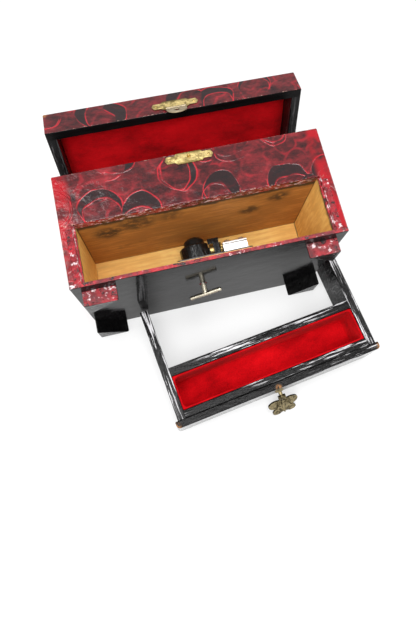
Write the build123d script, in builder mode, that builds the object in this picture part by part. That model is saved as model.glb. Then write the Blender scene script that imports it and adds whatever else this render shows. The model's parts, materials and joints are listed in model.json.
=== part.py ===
"""Musical jewelry box: a lacquered wooden case on its back with its lid ajar and its drawer taken out.

Every piece is drawn closed and upright: X to the right, Y from the front face to the back, Z up from
the underside. Each group of pieces is then set in its place at rest, on a table at Z = 0.
"""

import os
from math import atan2, cos, degrees, radians, sin

from build123d import *

os.makedirs("parts", exist_ok=True)

# case
case_width = 203.0
case_depth = 138.0
case_height = 86.0
side_thickness = 10.5
front_thickness = 8.0
back_thickness = 6.0
bottom_thickness = 3.0
floor_thickness = 3.5
stop_thickness = 4.0
cavity_height = 43.3
cavity_depth = 99.0
rebate_depth = 2.5
velvet_thickness = 2.0

# feet
foot_height = 11.0
foot_leg = 26.0
front_foot_inset = 6.0
front_foot_setback = 12.0
foot_corner_radius = 1.0

# lid
lid_height = 21.5
lid_wall = 7.5
lid_top_thickness = 4.0
lid_gap = 0.2
lid_edge_radius = 1.0
lid_open_angle = 16.0
pad_thickness = 3.0
pad_edge_radius = 1.4
pad_clearance = 0.3

# lid hinges
hinge_spacing = 120.0
leaf_width = 18.0
leaf_height = 10.0
leaf_thickness = 0.8
knuckle_radius = 1.6
hinge_pin_radius = 0.75
hinge_offset = 1.8
leaf_gap = 2.0
knuckle_gap = 0.2
running_clearance = 0.06
leaf_screw_spacing = 11.0
leaf_screw_radius = 1.6
leaf_screw_height = 0.7

# clasp
plate_width = 37.0
plate_height = 9.0
plate_thickness = 0.8
plate_waist = 1.6
hasp_plate_rise = 3.0
hasp_hinge_rise = 2.4
hasp_hinge_offset = 1.8
hasp_width = 16.0
hasp_length = 12.0
hasp_shoulder = 5.4
hasp_thickness = 0.8
hasp_hole_radius = 2.1
hasp_knuckle_radius = 1.1
hasp_pin_radius = 0.5
hasp_pin_length = 18.0
hasp_swing_angle = 25.0
stud_drop = 3.5
stud_radius = 1.4
stud_length = 3.0
rivet_spacing = 30.0
rivet_radius = 1.1
rivet_height = 0.6
head_taper = 0.6

# drawer
drawer_clearance = 0.5
side_clearance = 1.5
drawer_front_thickness = 6.0
drawer_front_proud = 3.5
board_overhang = 2.4
board_corner_radius = 3.0
front_side_clearance = 0.6
arm_thickness = 7.0
tray_front_wall = 6.5
tray_width = 28.5
tray_back_wall_thickness = 7.5
tray_bottom_thickness = 4.0
tray_velvet = 1.2
front_edge_radius = 1.0
drawer_yaw = 7.8
drawer_side_shift = 40.6
drawer_pulled = 84.6

# butterfly pull
pull_height = 21.0
rosette_radius = 4.2
rosette_face_radius = 3.4
rosette_thickness = 1.2
post_radius = 1.7
post_length = 4.6
eye_radius = 2.1
eye_width = 3.2
pull_pin_radius = 0.7
ear_radius = 1.8
ear_thickness = 1.4
wing_thickness = 1.5
upper_wing_length = 15.2
upper_wing_width = 9.4
upper_wing_out = 6.0
upper_wing_down = 4.9
upper_wing_tilt = 8.0
upper_flutes = 6
upper_fan_down = 8.0
lower_wing_length = 12.0
lower_wing_width = 7.0
lower_wing_out = 4.8
lower_wing_down = 12.6
lower_wing_tilt = -12.0
lower_flutes = 4
lower_fan_down = 10.3
flute_radius = 0.42
flute_spacing = 12.0
flute_middle = 0.72
flute_reach = 0.8
body_length = 16.0
body_width = 2.6
body_rise = 0.5
pull_drop_angle = 52.0

# musical movement
arbor_x = -6.0
arbor_y = 63.0
block_width = 66.0
block_depth = 33.0
block_height = 14.0
block_left = 19.0
bedplate_thickness = 1.6
bedplate_margin = 1.6
bed_screw_inset = 3.0
housing_radius = 8.6
housing_height = 18.6
housing_edge = 1.4
flange_radius = 13.0
flange_height = 12.4
cap_radius = 6.4
cap_top_radius = 5.8
cap_height = 1.0
arbor_radius = 1.5
board_hole_radius = 3.2
cylinder_radius = 5.4
cylinder_length = 8.0
cylinder_start = 5.6
cylinder_axis_height = 7.0
cylinder_arbor_radius = 1.0
pin_height = 0.45
pin_width = 0.26
pin_root = 0.4
tone_count = 18
tone_pitch = 0.42
pins_per_tone = 3
tone_turn = 137.5
pin_turn = 131.0
comb_tooth_width = 0.3
comb_tooth_length = 7.2
comb_tooth_step = 0.16
comb_base_depth = 4.6
comb_thickness = 0.7
comb_gap = 0.35
comb_overhang = 2.2
comb_root_overlap = 0.2
comb_screw_spacing = 4.5
gear_module = 0.4
gear_teeth = 30
pinion_teeth = 10
tooth_addendum = 0.3
tooth_dedendum = 0.5
tooth_root_width = 0.54
tooth_tip_width = 0.3
tooth_foot = 0.15
gear_thickness = 1.1
gear_gap = 0.5
pinion_arbor_radius = 0.6
governor_gap = 0.8
governor_width = 20.0
governor_depth = 20.0
governor_height = 9.6
governor_edge_radius = 1.1
governor_cap_radius = 2.6
governor_cap_top_radius = 2.2
governor_cap_inset = 3.7
governor_cap_spacing = 12.0
governor_cap_height = 1.4
bracket_thickness = 1.2
bracket_setback = 7.0
bracket_height = 15.0
bracket_arm = 4.4
bracket_leg = 5.0
bearing_front = 1.9
bearing_back = 5.4
bearing_rise = 2.5
screw_head_radius = 1.7
screw_head_height = 0.9

# winding key
key_stem_radius = 2.25
key_stem_length = 8.0
key_bar_length = 29.0
key_bar_radius = 1.8
key_bar_drop = 0.7
key_gap = 0.4
key_turn = -28.0

# places worked out from the sizes above
half_width = case_width / 2
inner_half = half_width - side_thickness
opening_top = bottom_thickness + cavity_height
floor_top = opening_top + floor_thickness
back_inner = case_depth - back_thickness
lid_bottom = case_height + lid_gap
lid_top = case_height + lid_height
lid_ceiling = lid_top - lid_top_thickness
hinge_y = case_depth + hinge_offset
hasp_plate_bottom = case_height + hasp_plate_rise
hasp_hinge_z = case_height + hasp_hinge_rise
stud_z = case_height - stud_drop
drawer_bottom = bottom_thickness + drawer_clearance
drawer_height = cavity_height - 2 * drawer_clearance
arm_outer = inner_half - side_clearance
arm_inner = arm_outer - arm_thickness
board_half = arm_outer + board_overhang
rebate_half = board_half + front_side_clearance
front_outer_y = -drawer_front_proud
front_inner_y = front_outer_y + drawer_front_thickness
arm_end_y = cavity_depth - 2 * drawer_clearance
tray_start_y = front_inner_y + tray_front_wall
tray_end_y = tray_start_y + tray_width
tray_back_y = tray_end_y + tray_back_wall_thickness
tray_floor_z = drawer_bottom + tray_bottom_thickness
drawer_top = drawer_bottom + drawer_height
pull_z = drawer_bottom + pull_height
pull_axis_y = front_outer_y - rosette_thickness - post_length
block_front_y = arbor_y - block_depth / 2
block_left_x = arbor_x - block_left
block_right_x = block_left_x + block_width
block_top = bottom_thickness + block_height
bed_top = block_top + bedplate_thickness
housing_top = bed_top + housing_height
cylinder_z = bed_top + cylinder_axis_height
cylinder_left = cylinder_start
cylinder_right = cylinder_left + cylinder_length
gear_left = cylinder_right + gear_gap
gear_right = gear_left + gear_thickness
governor_left = gear_right + governor_gap
gear_distance = gear_module * (gear_teeth + pinion_teeth) / 2
pinion_y = arbor_y - gear_distance
arbor_left = cylinder_left - knuckle_gap - bracket_thickness
housing_flat_x = arbor_left - knuckle_gap
stem_end_z = -key_stem_length


def block(x_range, y_range, z_range, mode=Mode.ADD):
    """A box between two values along each axis."""
    size = [high - low for low, high in (x_range, y_range, z_range)]
    centre = tuple((low + high) / 2 for low, high in (x_range, y_range, z_range))
    with Locations(centre):
        Box(*size, mode=mode)


# case: two sides with a rebate that the drawer front seats in
case_sides = []
for side_name, side in (("case_side_left", -1), ("case_side_right", 1)):
    with BuildPart() as case_side:
        block(
            sorted((side * inner_half, side * half_width)),
            (0, case_depth),
            (bottom_thickness, case_height),
        )
        block(
            sorted((side * inner_half, side * rebate_half)),
            (0, rebate_depth),
            (bottom_thickness, opening_top),
            mode=Mode.SUBTRACT,
        )
    case_side.part.label = side_name
    case_sides.append(case_side)

with BuildPart() as case_back:
    block((-inner_half, inner_half), (back_inner, case_depth), (bottom_thickness, case_height))
case_back.part.label = "case_back"

with BuildPart() as case_front_panel:
    block((-inner_half, inner_half), (0, front_thickness), (opening_top, case_height))
case_front_panel.part.label = "case_front_panel"

with BuildPart() as compartment_floor:
    block((-inner_half, inner_half), (front_thickness, back_inner), (opening_top, floor_top))
compartment_floor.part.label = "compartment_floor"

# the panel behind the drawer that stops it
with BuildPart() as stop_panel:
    block(
        (-inner_half, inner_half),
        (cavity_depth, cavity_depth + stop_thickness),
        (bottom_thickness, opening_top),
    )
stop_panel.part.label = "stop_panel"

# bottom board with the hole that the winding arbor passes through
with BuildPart() as bottom_board:
    block((-half_width, half_width), (0, case_depth), (0, bottom_thickness))
    with Locations((arbor_x, arbor_y, bottom_thickness / 2)):
        Cylinder(board_hole_radius, bottom_thickness, mode=Mode.SUBTRACT)
bottom_board.part.label = "bottom_board"

# velvet shell of the upper compartment, open at the top
with BuildPart() as compartment_lining:
    lining_top = case_height - velvet_thickness
    block((-inner_half, inner_half), (front_thickness, back_inner), (floor_top, lining_top))
    block(
        (-inner_half + velvet_thickness, inner_half - velvet_thickness),
        (front_thickness + velvet_thickness, back_inner - velvet_thickness),
        (floor_top + velvet_thickness, case_height),
        mode=Mode.SUBTRACT,
    )
compartment_lining.part.label = "compartment_lining"


def corner_feet(corner_y, inward):
    """Two three-cornered blocks under the case, each with its square corner outwards."""
    inset = front_foot_inset if inward > 0 else 0
    with BuildSketch(Plane.XY.offset(-foot_height)) as foot_outline:
        for side in (-1, 1):
            corner_x = side * (half_width - inset)
            with BuildLine():
                Polyline(
                    (corner_x, corner_y),
                    (corner_x - side * foot_leg, corner_y),
                    (corner_x, corner_y + inward * foot_leg),
                    close=True,
                )
            make_face()
    extrude(foot_outline.sketch, amount=foot_height)


with BuildPart() as front_feet:
    corner_feet(front_foot_setback, 1)
    fillet(front_feet.edges().filter_by(Axis.Z), foot_corner_radius)
front_feet.part.label = "front_feet"

with BuildPart() as rear_feet:
    corner_feet(case_depth, -1)
    fillet(
        rear_feet.edges().filter_by(Axis.Z).filter_by_position(
            Axis.Y, case_depth - foot_leg - foot_corner_radius, case_depth - foot_corner_radius
        ),
        foot_corner_radius,
    )
rear_feet.part.label = "rear_feet"

# lid: four rails under a top panel
with BuildPart() as lid_front_rail:
    block((-half_width, half_width), (0, lid_wall), (lid_bottom, lid_ceiling))
lid_front_rail.part.label = "lid_front_rail"

with BuildPart() as lid_back_rail:
    block((-half_width, half_width), (case_depth - lid_wall, case_depth), (lid_bottom, lid_ceiling))
lid_back_rail.part.label = "lid_back_rail"

with BuildPart() as lid_side_rails:
    for side in (-1, 1):
        block(
            sorted((side * half_width, side * (half_width - lid_wall))),
            (lid_wall, case_depth - lid_wall),
            (lid_bottom, lid_ceiling),
        )
lid_side_rails.part.label = "lid_side_rails"

with BuildPart() as lid_top_panel:
    block((-half_width, half_width), (0, case_depth), (lid_ceiling, lid_top))
    fillet(lid_top_panel.edges().group_by(Axis.Z)[-1], lid_edge_radius)
lid_top_panel.part.label = "lid_top_panel"

# padded velvet under the lid's top panel, drawn in at its sides
pad_half = half_width - lid_wall - pad_clearance
with BuildPart() as lid_lining:
    block(
        (-pad_half, pad_half),
        (lid_wall + pad_clearance, case_depth - lid_wall - pad_clearance),
        (lid_ceiling - pad_thickness, lid_ceiling),
    )
    fillet(lid_lining.edges().filter_by(Axis.Z), pad_edge_radius)
    fillet(lid_lining.edges().group_by(Axis.Z)[0], pad_edge_radius)
lid_lining.part.label = "lid_lining"

# lid hinges: a leaf on the case with two knuckles and a leaf on the lid with the one between them
knuckle_middle = leaf_width / 3
hinge_centres = (-hinge_spacing / 2, hinge_spacing / 2)


def hinge_leaves(upward, segments):
    """Both hinges' leaves on one side of the axis, each plate joined to its own knuckles."""
    leaf_low, leaf_high = sorted((case_height + upward * leaf_gap, case_height + upward * leaf_height))
    tab_low, tab_high = sorted((case_height, case_height + upward * (leaf_gap + leaf_thickness)))
    leaf_y = (case_depth, case_depth + leaf_thickness)
    for centre in hinge_centres:
        block((centre - leaf_width / 2, centre + leaf_width / 2), leaf_y, (leaf_low, leaf_high))
        for low, high in segments:
            block((centre + low, centre + high), leaf_y, (tab_low, tab_high))
            with Locations(Plane.YZ.offset(centre + low)):
                with Locations((hinge_y, case_height, (high - low) / 2)):
                    Cylinder(knuckle_radius, high - low)
    for centre in hinge_centres:
        with Locations(Plane.YZ.offset(centre)):
            with Locations((hinge_y, case_height)):
                Cylinder(hinge_pin_radius + running_clearance, 2 * leaf_width, mode=Mode.SUBTRACT)


with BuildPart() as hinge_case_leaves:
    hinge_leaves(
        -1,
        (
            (-leaf_width / 2, -knuckle_middle / 2 - knuckle_gap),
            (knuckle_middle / 2 + knuckle_gap, leaf_width / 2),
        ),
    )
hinge_case_leaves.part.label = "hinge_case_leaves"

with BuildPart() as hinge_lid_leaves:
    hinge_leaves(1, ((-knuckle_middle / 2, knuckle_middle / 2),))
hinge_lid_leaves.part.label = "hinge_lid_leaves"

with BuildPart() as hinge_pins:
    for centre in hinge_centres:
        with Locations(Plane.YZ.offset(centre)):
            with Locations((hinge_y, case_height)):
                Cylinder(hinge_pin_radius, leaf_width)
hinge_pins.part.label = "hinge_pins"


def dome_heads(plane, points, radius, height):
    """Low domed heads of rivets or screws that lie on a plane."""
    with Locations(plane):
        with Locations(*points):
            Cone(radius, radius * head_taper, height, align=(Align.CENTER, Align.CENTER, Align.MIN))


back_plane = Plane((0, case_depth + leaf_thickness, case_height), x_dir=(-1, 0, 0), z_dir=(0, 1, 0))
screw_middle = (leaf_gap + leaf_height) / 2
hinge_screw_points = [
    (centre + shift, screw_middle)
    for centre in hinge_centres
    for shift in (-leaf_screw_spacing / 2, leaf_screw_spacing / 2)
]

with BuildPart() as hinge_lid_screws:
    dome_heads(back_plane, hinge_screw_points, leaf_screw_radius, leaf_screw_height)
hinge_lid_screws.part.label = "hinge_lid_screws"

with BuildPart() as hinge_case_screws:
    dome_heads(
        back_plane,
        [(across, -up) for across, up in hinge_screw_points],
        leaf_screw_radius,
        leaf_screw_height,
    )
hinge_case_screws.part.label = "hinge_case_screws"


# clasp: a shaped plate on the lid with a swinging hasp, and a shaped plate with a stud on the case
def shaped_plate(low_z):
    """A thin plate with waisted shoulders and pointed ends."""
    half_plate = plate_width / 2
    shoulder = plate_width / 4
    with BuildSketch(Plane.XZ) as plate_outline:
        with BuildLine():
            Polyline(
                (-shoulder, low_z),
                (shoulder, low_z),
                (shoulder + plate_waist, low_z + plate_waist),
                (half_plate - plate_waist, low_z + plate_waist),
                (half_plate, low_z + plate_height / 2),
                (half_plate - plate_waist, low_z + plate_height - plate_waist),
                (shoulder + plate_waist, low_z + plate_height - plate_waist),
                (shoulder, low_z + plate_height),
                (-shoulder, low_z + plate_height),
                (-shoulder - plate_waist, low_z + plate_height - plate_waist),
                (-half_plate + plate_waist, low_z + plate_height - plate_waist),
                (-half_plate, low_z + plate_height / 2),
                (-half_plate + plate_waist, low_z + plate_waist),
                (-shoulder - plate_waist, low_z + plate_waist),
                close=True,
            )
        make_face()
    extrude(plate_outline.sketch, amount=plate_thickness)


rivet_plane = Plane((0, -plate_thickness, 0), x_dir=(1, 0, 0), z_dir=(0, -1, 0))
hasp_plate_middle = hasp_plate_bottom + plate_height / 2
catch_bottom = case_height - plate_height - lid_gap
rivet_shifts = (-rivet_spacing / 2, rivet_spacing / 2)

with BuildPart() as hasp_plate:
    shaped_plate(hasp_plate_bottom)
    for side in (-1, 1):
        ear_start = side * (hasp_width / 2 + knuckle_gap)
        ear_range = sorted((ear_start, side * hasp_pin_length / 2))
        block(ear_range, (-hasp_hinge_offset, -plate_thickness / 2), (hasp_hinge_z, hasp_plate_middle))
        with Locations((sum(ear_range) / 2, -hasp_hinge_offset, hasp_hinge_z)):
            Cylinder(hasp_knuckle_radius, ear_range[1] - ear_range[0], rotation=(0, 90, 0))
    with Locations((0, -hasp_hinge_offset, hasp_hinge_z)):
        Cylinder(hasp_pin_radius, plate_width, rotation=(0, 90, 0), mode=Mode.SUBTRACT)
hasp_plate.part.label = "hasp_plate"

with BuildPart() as hasp_rivets:
    dome_heads(rivet_plane, [(x, hasp_plate_middle) for x in rivet_shifts], rivet_radius, rivet_height)
hasp_rivets.part.label = "hasp_rivets"

with BuildPart() as hasp_pin:
    with Locations((0, -hasp_hinge_offset, hasp_hinge_z)):
        Cylinder(hasp_pin_radius, hasp_pin_length, rotation=(0, 90, 0))
hasp_pin.part.label = "hasp_pin"

# hasp tongue, hanging straight down over the stud, with a rounded end and a round hole
hasp_front = Plane((0, -hasp_hinge_offset - hasp_thickness / 2, hasp_hinge_z), x_dir=(1, 0, 0), z_dir=(0, 1, 0))
with BuildPart() as hasp_tongue:
    with BuildSketch(hasp_front):
        with BuildLine():
            Polyline((-hasp_width / 2, 0), (-hasp_width / 2, hasp_shoulder))
            ThreePointArc(
                (-hasp_width / 2, hasp_shoulder),
                (0, hasp_length),
                (hasp_width / 2, hasp_shoulder),
            )
            Polyline((hasp_width / 2, hasp_shoulder), (hasp_width / 2, 0), (-hasp_width / 2, 0))
        make_face()
        with Locations((0, hasp_hinge_z - stud_z)):
            Circle(hasp_hole_radius, mode=Mode.SUBTRACT)
    extrude(amount=hasp_thickness)
    with Locations((0, -hasp_hinge_offset, hasp_hinge_z)):
        Cylinder(hasp_knuckle_radius, hasp_width, rotation=(0, 90, 0))
        Cylinder(
            hasp_pin_radius + running_clearance, plate_width, rotation=(0, 90, 0), mode=Mode.SUBTRACT
        )
hasp_tongue.part.label = "hasp_tongue"

with BuildPart() as catch_plate:
    shaped_plate(catch_bottom)
catch_plate.part.label = "catch_plate"

with BuildPart() as catch_rivets:
    catch_middle = catch_bottom + plate_height / 2
    dome_heads(rivet_plane, [(x, catch_middle) for x in rivet_shifts], rivet_radius, rivet_height)
catch_rivets.part.label = "catch_rivets"

with BuildPart() as catch_stud:
    with Locations((0, -plate_thickness, stud_z)):
        Cylinder(
            stud_radius,
            stud_length,
            rotation=(90, 0, 0),
            align=(Align.CENTER, Align.CENTER, Align.MIN),
        )
    fillet(catch_stud.edges().sort_by(Axis.Y)[0], stud_radius / 3)
catch_stud.part.label = "catch_stud"

# drawer: a board, two long arms, and a narrow velvet-lined tray behind the board
with BuildPart() as drawer_front:
    block((-board_half, board_half), (front_outer_y, front_inner_y), (drawer_bottom, drawer_top))
    fillet(drawer_front.edges().filter_by(Axis.Z).group_by(Axis.Y)[0], board_corner_radius)
    fillet(drawer_front.edges().filter_by(Axis.X).group_by(Axis.Y)[0], front_edge_radius)
drawer_front.part.label = "drawer_front"

drawer_arms = []
for arm_name, side in (("drawer_arm_left", -1), ("drawer_arm_right", 1)):
    with BuildPart() as drawer_arm:
        block(
            sorted((side * arm_outer, side * arm_inner)),
            (front_inner_y, arm_end_y),
            (drawer_bottom, drawer_top),
        )
    drawer_arm.part.label = arm_name
    drawer_arms.append(drawer_arm)

with BuildPart() as tray_bottom:
    block((-arm_inner, arm_inner), (front_inner_y, tray_back_y), (drawer_bottom, tray_floor_z))
tray_bottom.part.label = "tray_bottom"

with BuildPart() as tray_front_rail:
    block((-arm_inner, arm_inner), (front_inner_y, tray_start_y), (tray_floor_z, drawer_top))
tray_front_rail.part.label = "tray_front_rail"

with BuildPart() as tray_back_rail:
    block((-arm_inner, arm_inner), (tray_end_y, tray_back_y), (tray_floor_z, drawer_top))
tray_back_rail.part.label = "tray_back_rail"

with BuildPart() as tray_lining:
    block((-arm_inner, arm_inner), (tray_start_y, tray_end_y), (tray_floor_z, drawer_top - tray_velvet))
    block(
        (-arm_inner + tray_velvet, arm_inner - tray_velvet),
        (tray_start_y + tray_velvet, tray_end_y - tray_velvet),
        (tray_floor_z + tray_velvet, drawer_top),
        mode=Mode.SUBTRACT,
    )
tray_lining.part.label = "tray_lining"

# butterfly pull on a rosette and an eye
with BuildPart() as pull_rosette:
    rosette_plane = Plane((0, front_outer_y, pull_z), x_dir=(1, 0, 0), z_dir=(0, -1, 0))
    with Locations(rosette_plane):
        Cone(
            rosette_radius,
            rosette_face_radius,
            rosette_thickness,
            align=(Align.CENTER, Align.CENTER, Align.MIN),
        )
    with Locations(rosette_plane.offset(rosette_thickness / 2)):
        Cylinder(
            post_radius,
            post_length + rosette_thickness / 2,
            align=(Align.CENTER, Align.CENTER, Align.MIN),
        )
    with Locations((0, pull_axis_y, pull_z)):
        Cylinder(eye_radius, eye_width, rotation=(0, 90, 0))
        Cylinder(
            pull_pin_radius + running_clearance, 2 * eye_width, rotation=(0, 90, 0), mode=Mode.SUBTRACT
        )
pull_rosette.part.label = "pull_rosette"

# the butterfly, drawn lying level in front of the eye: a wide upper pair of wings, a narrower lower
# pair and a raised body, with flutes that fan out over the wings
wing_plane = Plane((0, pull_axis_y, pull_z - wing_thickness / 2), x_dir=(1, 0, 0), z_dir=(0, 0, 1))
wing_root = -eye_radius - knuckle_gap
body_middle = wing_root - body_length / 2
with BuildPart() as butterfly_pull:
    with BuildSketch(wing_plane):
        for side in (-1, 1):
            with Locations((side * upper_wing_out, wing_root - upper_wing_down)):
                Ellipse(upper_wing_length / 2, upper_wing_width / 2, rotation=side * upper_wing_tilt)
            with Locations((side * lower_wing_out, wing_root - lower_wing_down)):
                Ellipse(lower_wing_length / 2, lower_wing_width / 2, rotation=side * lower_wing_tilt)
    extrude(amount=wing_thickness)
    with BuildSketch(wing_plane):
        with Locations((0, body_middle)):
            Ellipse(body_width / 2, body_length / 2)
    extrude(amount=wing_thickness + body_rise)
    for ear in (-1, 1):
        ear_centre = ear * (eye_width / 2 + knuckle_gap + ear_thickness / 2)
        with Locations((ear_centre, pull_axis_y, pull_z)):
            Cylinder(ear_radius, ear_thickness, rotation=(0, 90, 0))
        block(
            (ear_centre - ear_thickness / 2, ear_centre + ear_thickness / 2),
            (pull_axis_y + wing_root - ear_radius, pull_axis_y),
            (pull_z - wing_thickness / 2, pull_z + wing_thickness / 2),
        )
    with Locations((0, pull_axis_y, pull_z)):
        Cylinder(pull_pin_radius, eye_width + 2 * knuckle_gap + ear_thickness, rotation=(0, 90, 0))
    fans = (
        (upper_flutes, 90 + flute_spacing, upper_fan_down, upper_wing_width),
        (lower_flutes, 2 * flute_spacing, lower_fan_down, lower_wing_width),
    )
    for flutes, first_angle, fan_down, wing_width in fans:
        for side in (-1, 1):
            for flute in range(flutes):
                fan_angle = side * (first_angle + flute * flute_spacing)
                middle = wing_width * flute_middle
                with Locations(
                    Location(
                        (
                            middle * sin(radians(fan_angle)),
                            pull_axis_y + wing_root - fan_down - middle * cos(radians(fan_angle)),
                            pull_z + wing_thickness / 2,
                        ),
                        (90, 0, fan_angle),
                    )
                ):
                    Cylinder(flute_radius, wing_width * flute_reach, mode=Mode.SUBTRACT)
butterfly_pull.part.label = "butterfly_pull"

# musical movement: wooden block, bedplate and spring housing, whose flange is cut flat beside the cylinder
with BuildPart() as movement_block:
    block(
        (block_left_x, block_right_x),
        (block_front_y, block_front_y + block_depth),
        (bottom_thickness, block_top),
    )
    with Locations((arbor_x, arbor_y, bottom_thickness + block_height / 2)):
        Cylinder(board_hole_radius, block_height, mode=Mode.SUBTRACT)
movement_block.part.label = "movement_block"

bed_left = block_left_x + bedplate_margin
bed_right = block_right_x - bedplate_margin
bed_front = block_front_y + bedplate_margin
bed_back = block_front_y + block_depth - bedplate_margin
bed_screws = (
    (bed_left + bed_screw_inset, bed_front + bed_screw_inset),
    (bed_left + bed_screw_inset, bed_back - bed_screw_inset),
    (cylinder_left + cylinder_length / 2, bed_front + bed_screw_inset),
)
with BuildPart() as bedplate:
    block((bed_left, bed_right), (bed_front, bed_back), (block_top, bed_top))
    fillet(bedplate.edges().filter_by(Axis.Z), bed_screw_inset)
    with Locations((arbor_x, arbor_y, block_top + bedplate_thickness / 2)):
        Cylinder(arbor_radius + running_clearance, bedplate_thickness, mode=Mode.SUBTRACT)
bedplate.part.label = "bedplate"

with BuildPart() as bedplate_screws:
    dome_heads(Plane.XY.offset(bed_top), bed_screws, screw_head_radius, screw_head_height)
bedplate_screws.part.label = "bedplate_screws"

with BuildPart() as spring_housing:
    with BuildSketch(Plane.XZ):
        with BuildLine():
            Polyline(
                (arbor_radius + running_clearance, bed_top),
                (flange_radius, bed_top),
                (flange_radius, bed_top + flange_height - housing_edge),
                (flange_radius - housing_edge, bed_top + flange_height),
                (housing_radius, bed_top + flange_height),
                (housing_radius, housing_top - housing_edge),
                (housing_radius - housing_edge, housing_top),
                (arbor_radius + running_clearance, housing_top),
                close=True,
            )
        make_face()
    revolve(axis=Axis.Z)
    block(
        (housing_flat_x - arbor_x, flange_radius),
        (-flange_radius, flange_radius),
        (bed_top, bed_top + flange_height),
        mode=Mode.SUBTRACT,
    )
spring_housing.part.move(Location((arbor_x, arbor_y, 0)))
spring_housing.part.label = "spring_housing"

with BuildPart() as housing_cap:
    with Locations((arbor_x, arbor_y, housing_top)):
        Cone(cap_radius, cap_top_radius, cap_height, align=(Align.CENTER, Align.CENTER, Align.MIN))
        Hole(arbor_radius + running_clearance)
housing_cap.part.label = "housing_cap"

# the dark bracket beside the housing: a leg on the bedplate with an arm towards the housing
bracket_y = arbor_y - bracket_setback
bracket_top = bed_top + bracket_height
bracket_right = cylinder_right - knuckle_gap
with BuildPart() as housing_bracket:
    block(
        (bracket_right - bracket_leg, bracket_right),
        (bracket_y - bracket_thickness, bracket_y),
        (bed_top, bracket_top),
    )
    block(
        (arbor_left, bracket_right),
        (bracket_y - bracket_thickness, bracket_y),
        (bracket_top - bracket_arm, bracket_top),
    )
housing_bracket.part.label = "housing_bracket"

# pinned cylinder on its arbor
cylinder_plane = Plane.YZ.offset(cylinder_left)
pin_spots = []
for tone in range(tone_count):
    for turn in range(pins_per_tone):
        pin_angle = (tone * tone_turn + turn * pin_turn) % 360
        pin_x = cylinder_left + cylinder_length / 2 + (tone - (tone_count - 1) / 2) * tone_pitch
        pin_spots.append(
            Location(
                (
                    pin_x,
                    arbor_y - (cylinder_radius + pin_height / 2) * sin(radians(pin_angle)),
                    cylinder_z + (cylinder_radius + pin_height / 2) * cos(radians(pin_angle)),
                ),
                (pin_angle, 0, 0),
            )
        )
with BuildPart() as cylinder:
    with BuildSketch(cylinder_plane):
        with Locations((arbor_y, cylinder_z)):
            Circle(cylinder_radius)
    extrude(amount=cylinder_length)
    with BuildSketch(Plane.YZ.offset(arbor_left)):
        with Locations((arbor_y, cylinder_z)):
            Circle(cylinder_arbor_radius)
    extrude(amount=governor_left + governor_gap - arbor_left)
    with Locations(*pin_spots):
        Box(pin_width, pin_width, pin_height + pin_root)
cylinder.part.label = "cylinder"


def toothed_wheel(teeth, turned):
    """A spur wheel's outline with straight-sided teeth."""
    pitch_radius = gear_module * teeth / 2
    root_radius = pitch_radius - tooth_dedendum
    tooth_height = tooth_dedendum + tooth_addendum
    Circle(root_radius)
    with PolarLocations(root_radius, teeth, start_angle=turned):
        Polygon(
            (-tooth_foot, -tooth_root_width / 2),
            (tooth_height, -tooth_tip_width / 2),
            (tooth_height, tooth_tip_width / 2),
            (-tooth_foot, tooth_root_width / 2),
            align=None,
        )


with BuildPart() as cylinder_gear:
    with BuildSketch(Plane.YZ.offset(gear_left)):
        with Locations((arbor_y, cylinder_z)):
            toothed_wheel(gear_teeth, 180)
            Circle(cylinder_arbor_radius, mode=Mode.SUBTRACT)
    extrude(amount=gear_thickness)
cylinder_gear.part.label = "cylinder_gear"

with BuildPart() as governor_pinion:
    with BuildSketch(Plane.YZ.offset(gear_left)):
        with Locations((pinion_y, cylinder_z)):
            toothed_wheel(pinion_teeth, 180 / pinion_teeth)
    extrude(amount=gear_thickness)
    with BuildSketch(Plane.YZ.offset(gear_left)):
        with Locations((pinion_y, cylinder_z)):
            Circle(pinion_arbor_radius)
    extrude(amount=governor_left + governor_gap - gear_left)
governor_pinion.part.label = "governor_pinion"

# bearing bracket at the cylinder's left end
with BuildPart() as cylinder_bracket:
    block(
        (arbor_left, arbor_left + bracket_thickness),
        (arbor_y - bearing_front, arbor_y + bearing_back),
        (bed_top, cylinder_z + bearing_rise),
    )
    with Locations((arbor_left, arbor_y, cylinder_z)):
        Cylinder(
            cylinder_arbor_radius + running_clearance,
            4 * bracket_thickness,
            rotation=(0, 90, 0),
            mode=Mode.SUBTRACT,
        )
cylinder_bracket.part.label = "cylinder_bracket"

# comb: eighteen tuned teeth that reach to the cylinder's pins
comb_tip_y = arbor_y + cylinder_radius + pin_height + comb_gap
comb_root_y = comb_tip_y + comb_tooth_length
comb_z = cylinder_z
comb_middle_x = cylinder_left + cylinder_length / 2
comb_half = tone_count * tone_pitch / 2
with BuildPart() as comb:
    with BuildSketch(Plane.XY.offset(comb_z)):
        for tone in range(tone_count):
            tooth_root = comb_tip_y + comb_tooth_length - tone * comb_tooth_step
            tooth_x = comb_middle_x + (tone - (tone_count - 1) / 2) * tone_pitch
            with Locations((tooth_x, (comb_tip_y + comb_root_y) / 2)):
                Rectangle(comb_tooth_width, comb_tooth_length)
            with Locations((tooth_x, (tooth_root + comb_root_y + comb_root_overlap) / 2)):
                Rectangle(tone_pitch, comb_root_y + comb_root_overlap - tooth_root)
        with Locations((comb_middle_x, comb_root_y + comb_base_depth / 2)):
            Rectangle(2 * comb_half + 2 * comb_overhang, comb_base_depth)
    extrude(amount=comb_thickness)
comb.part.label = "comb"

comb_base_y = (comb_root_y + comb_tooth_step, comb_root_y + comb_base_depth)
with BuildPart() as comb_riser:
    block(
        (comb_middle_x - comb_half - comb_overhang, comb_middle_x + comb_half + comb_overhang),
        comb_base_y,
        (bed_top, comb_z),
    )
comb_riser.part.label = "comb_riser"

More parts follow.
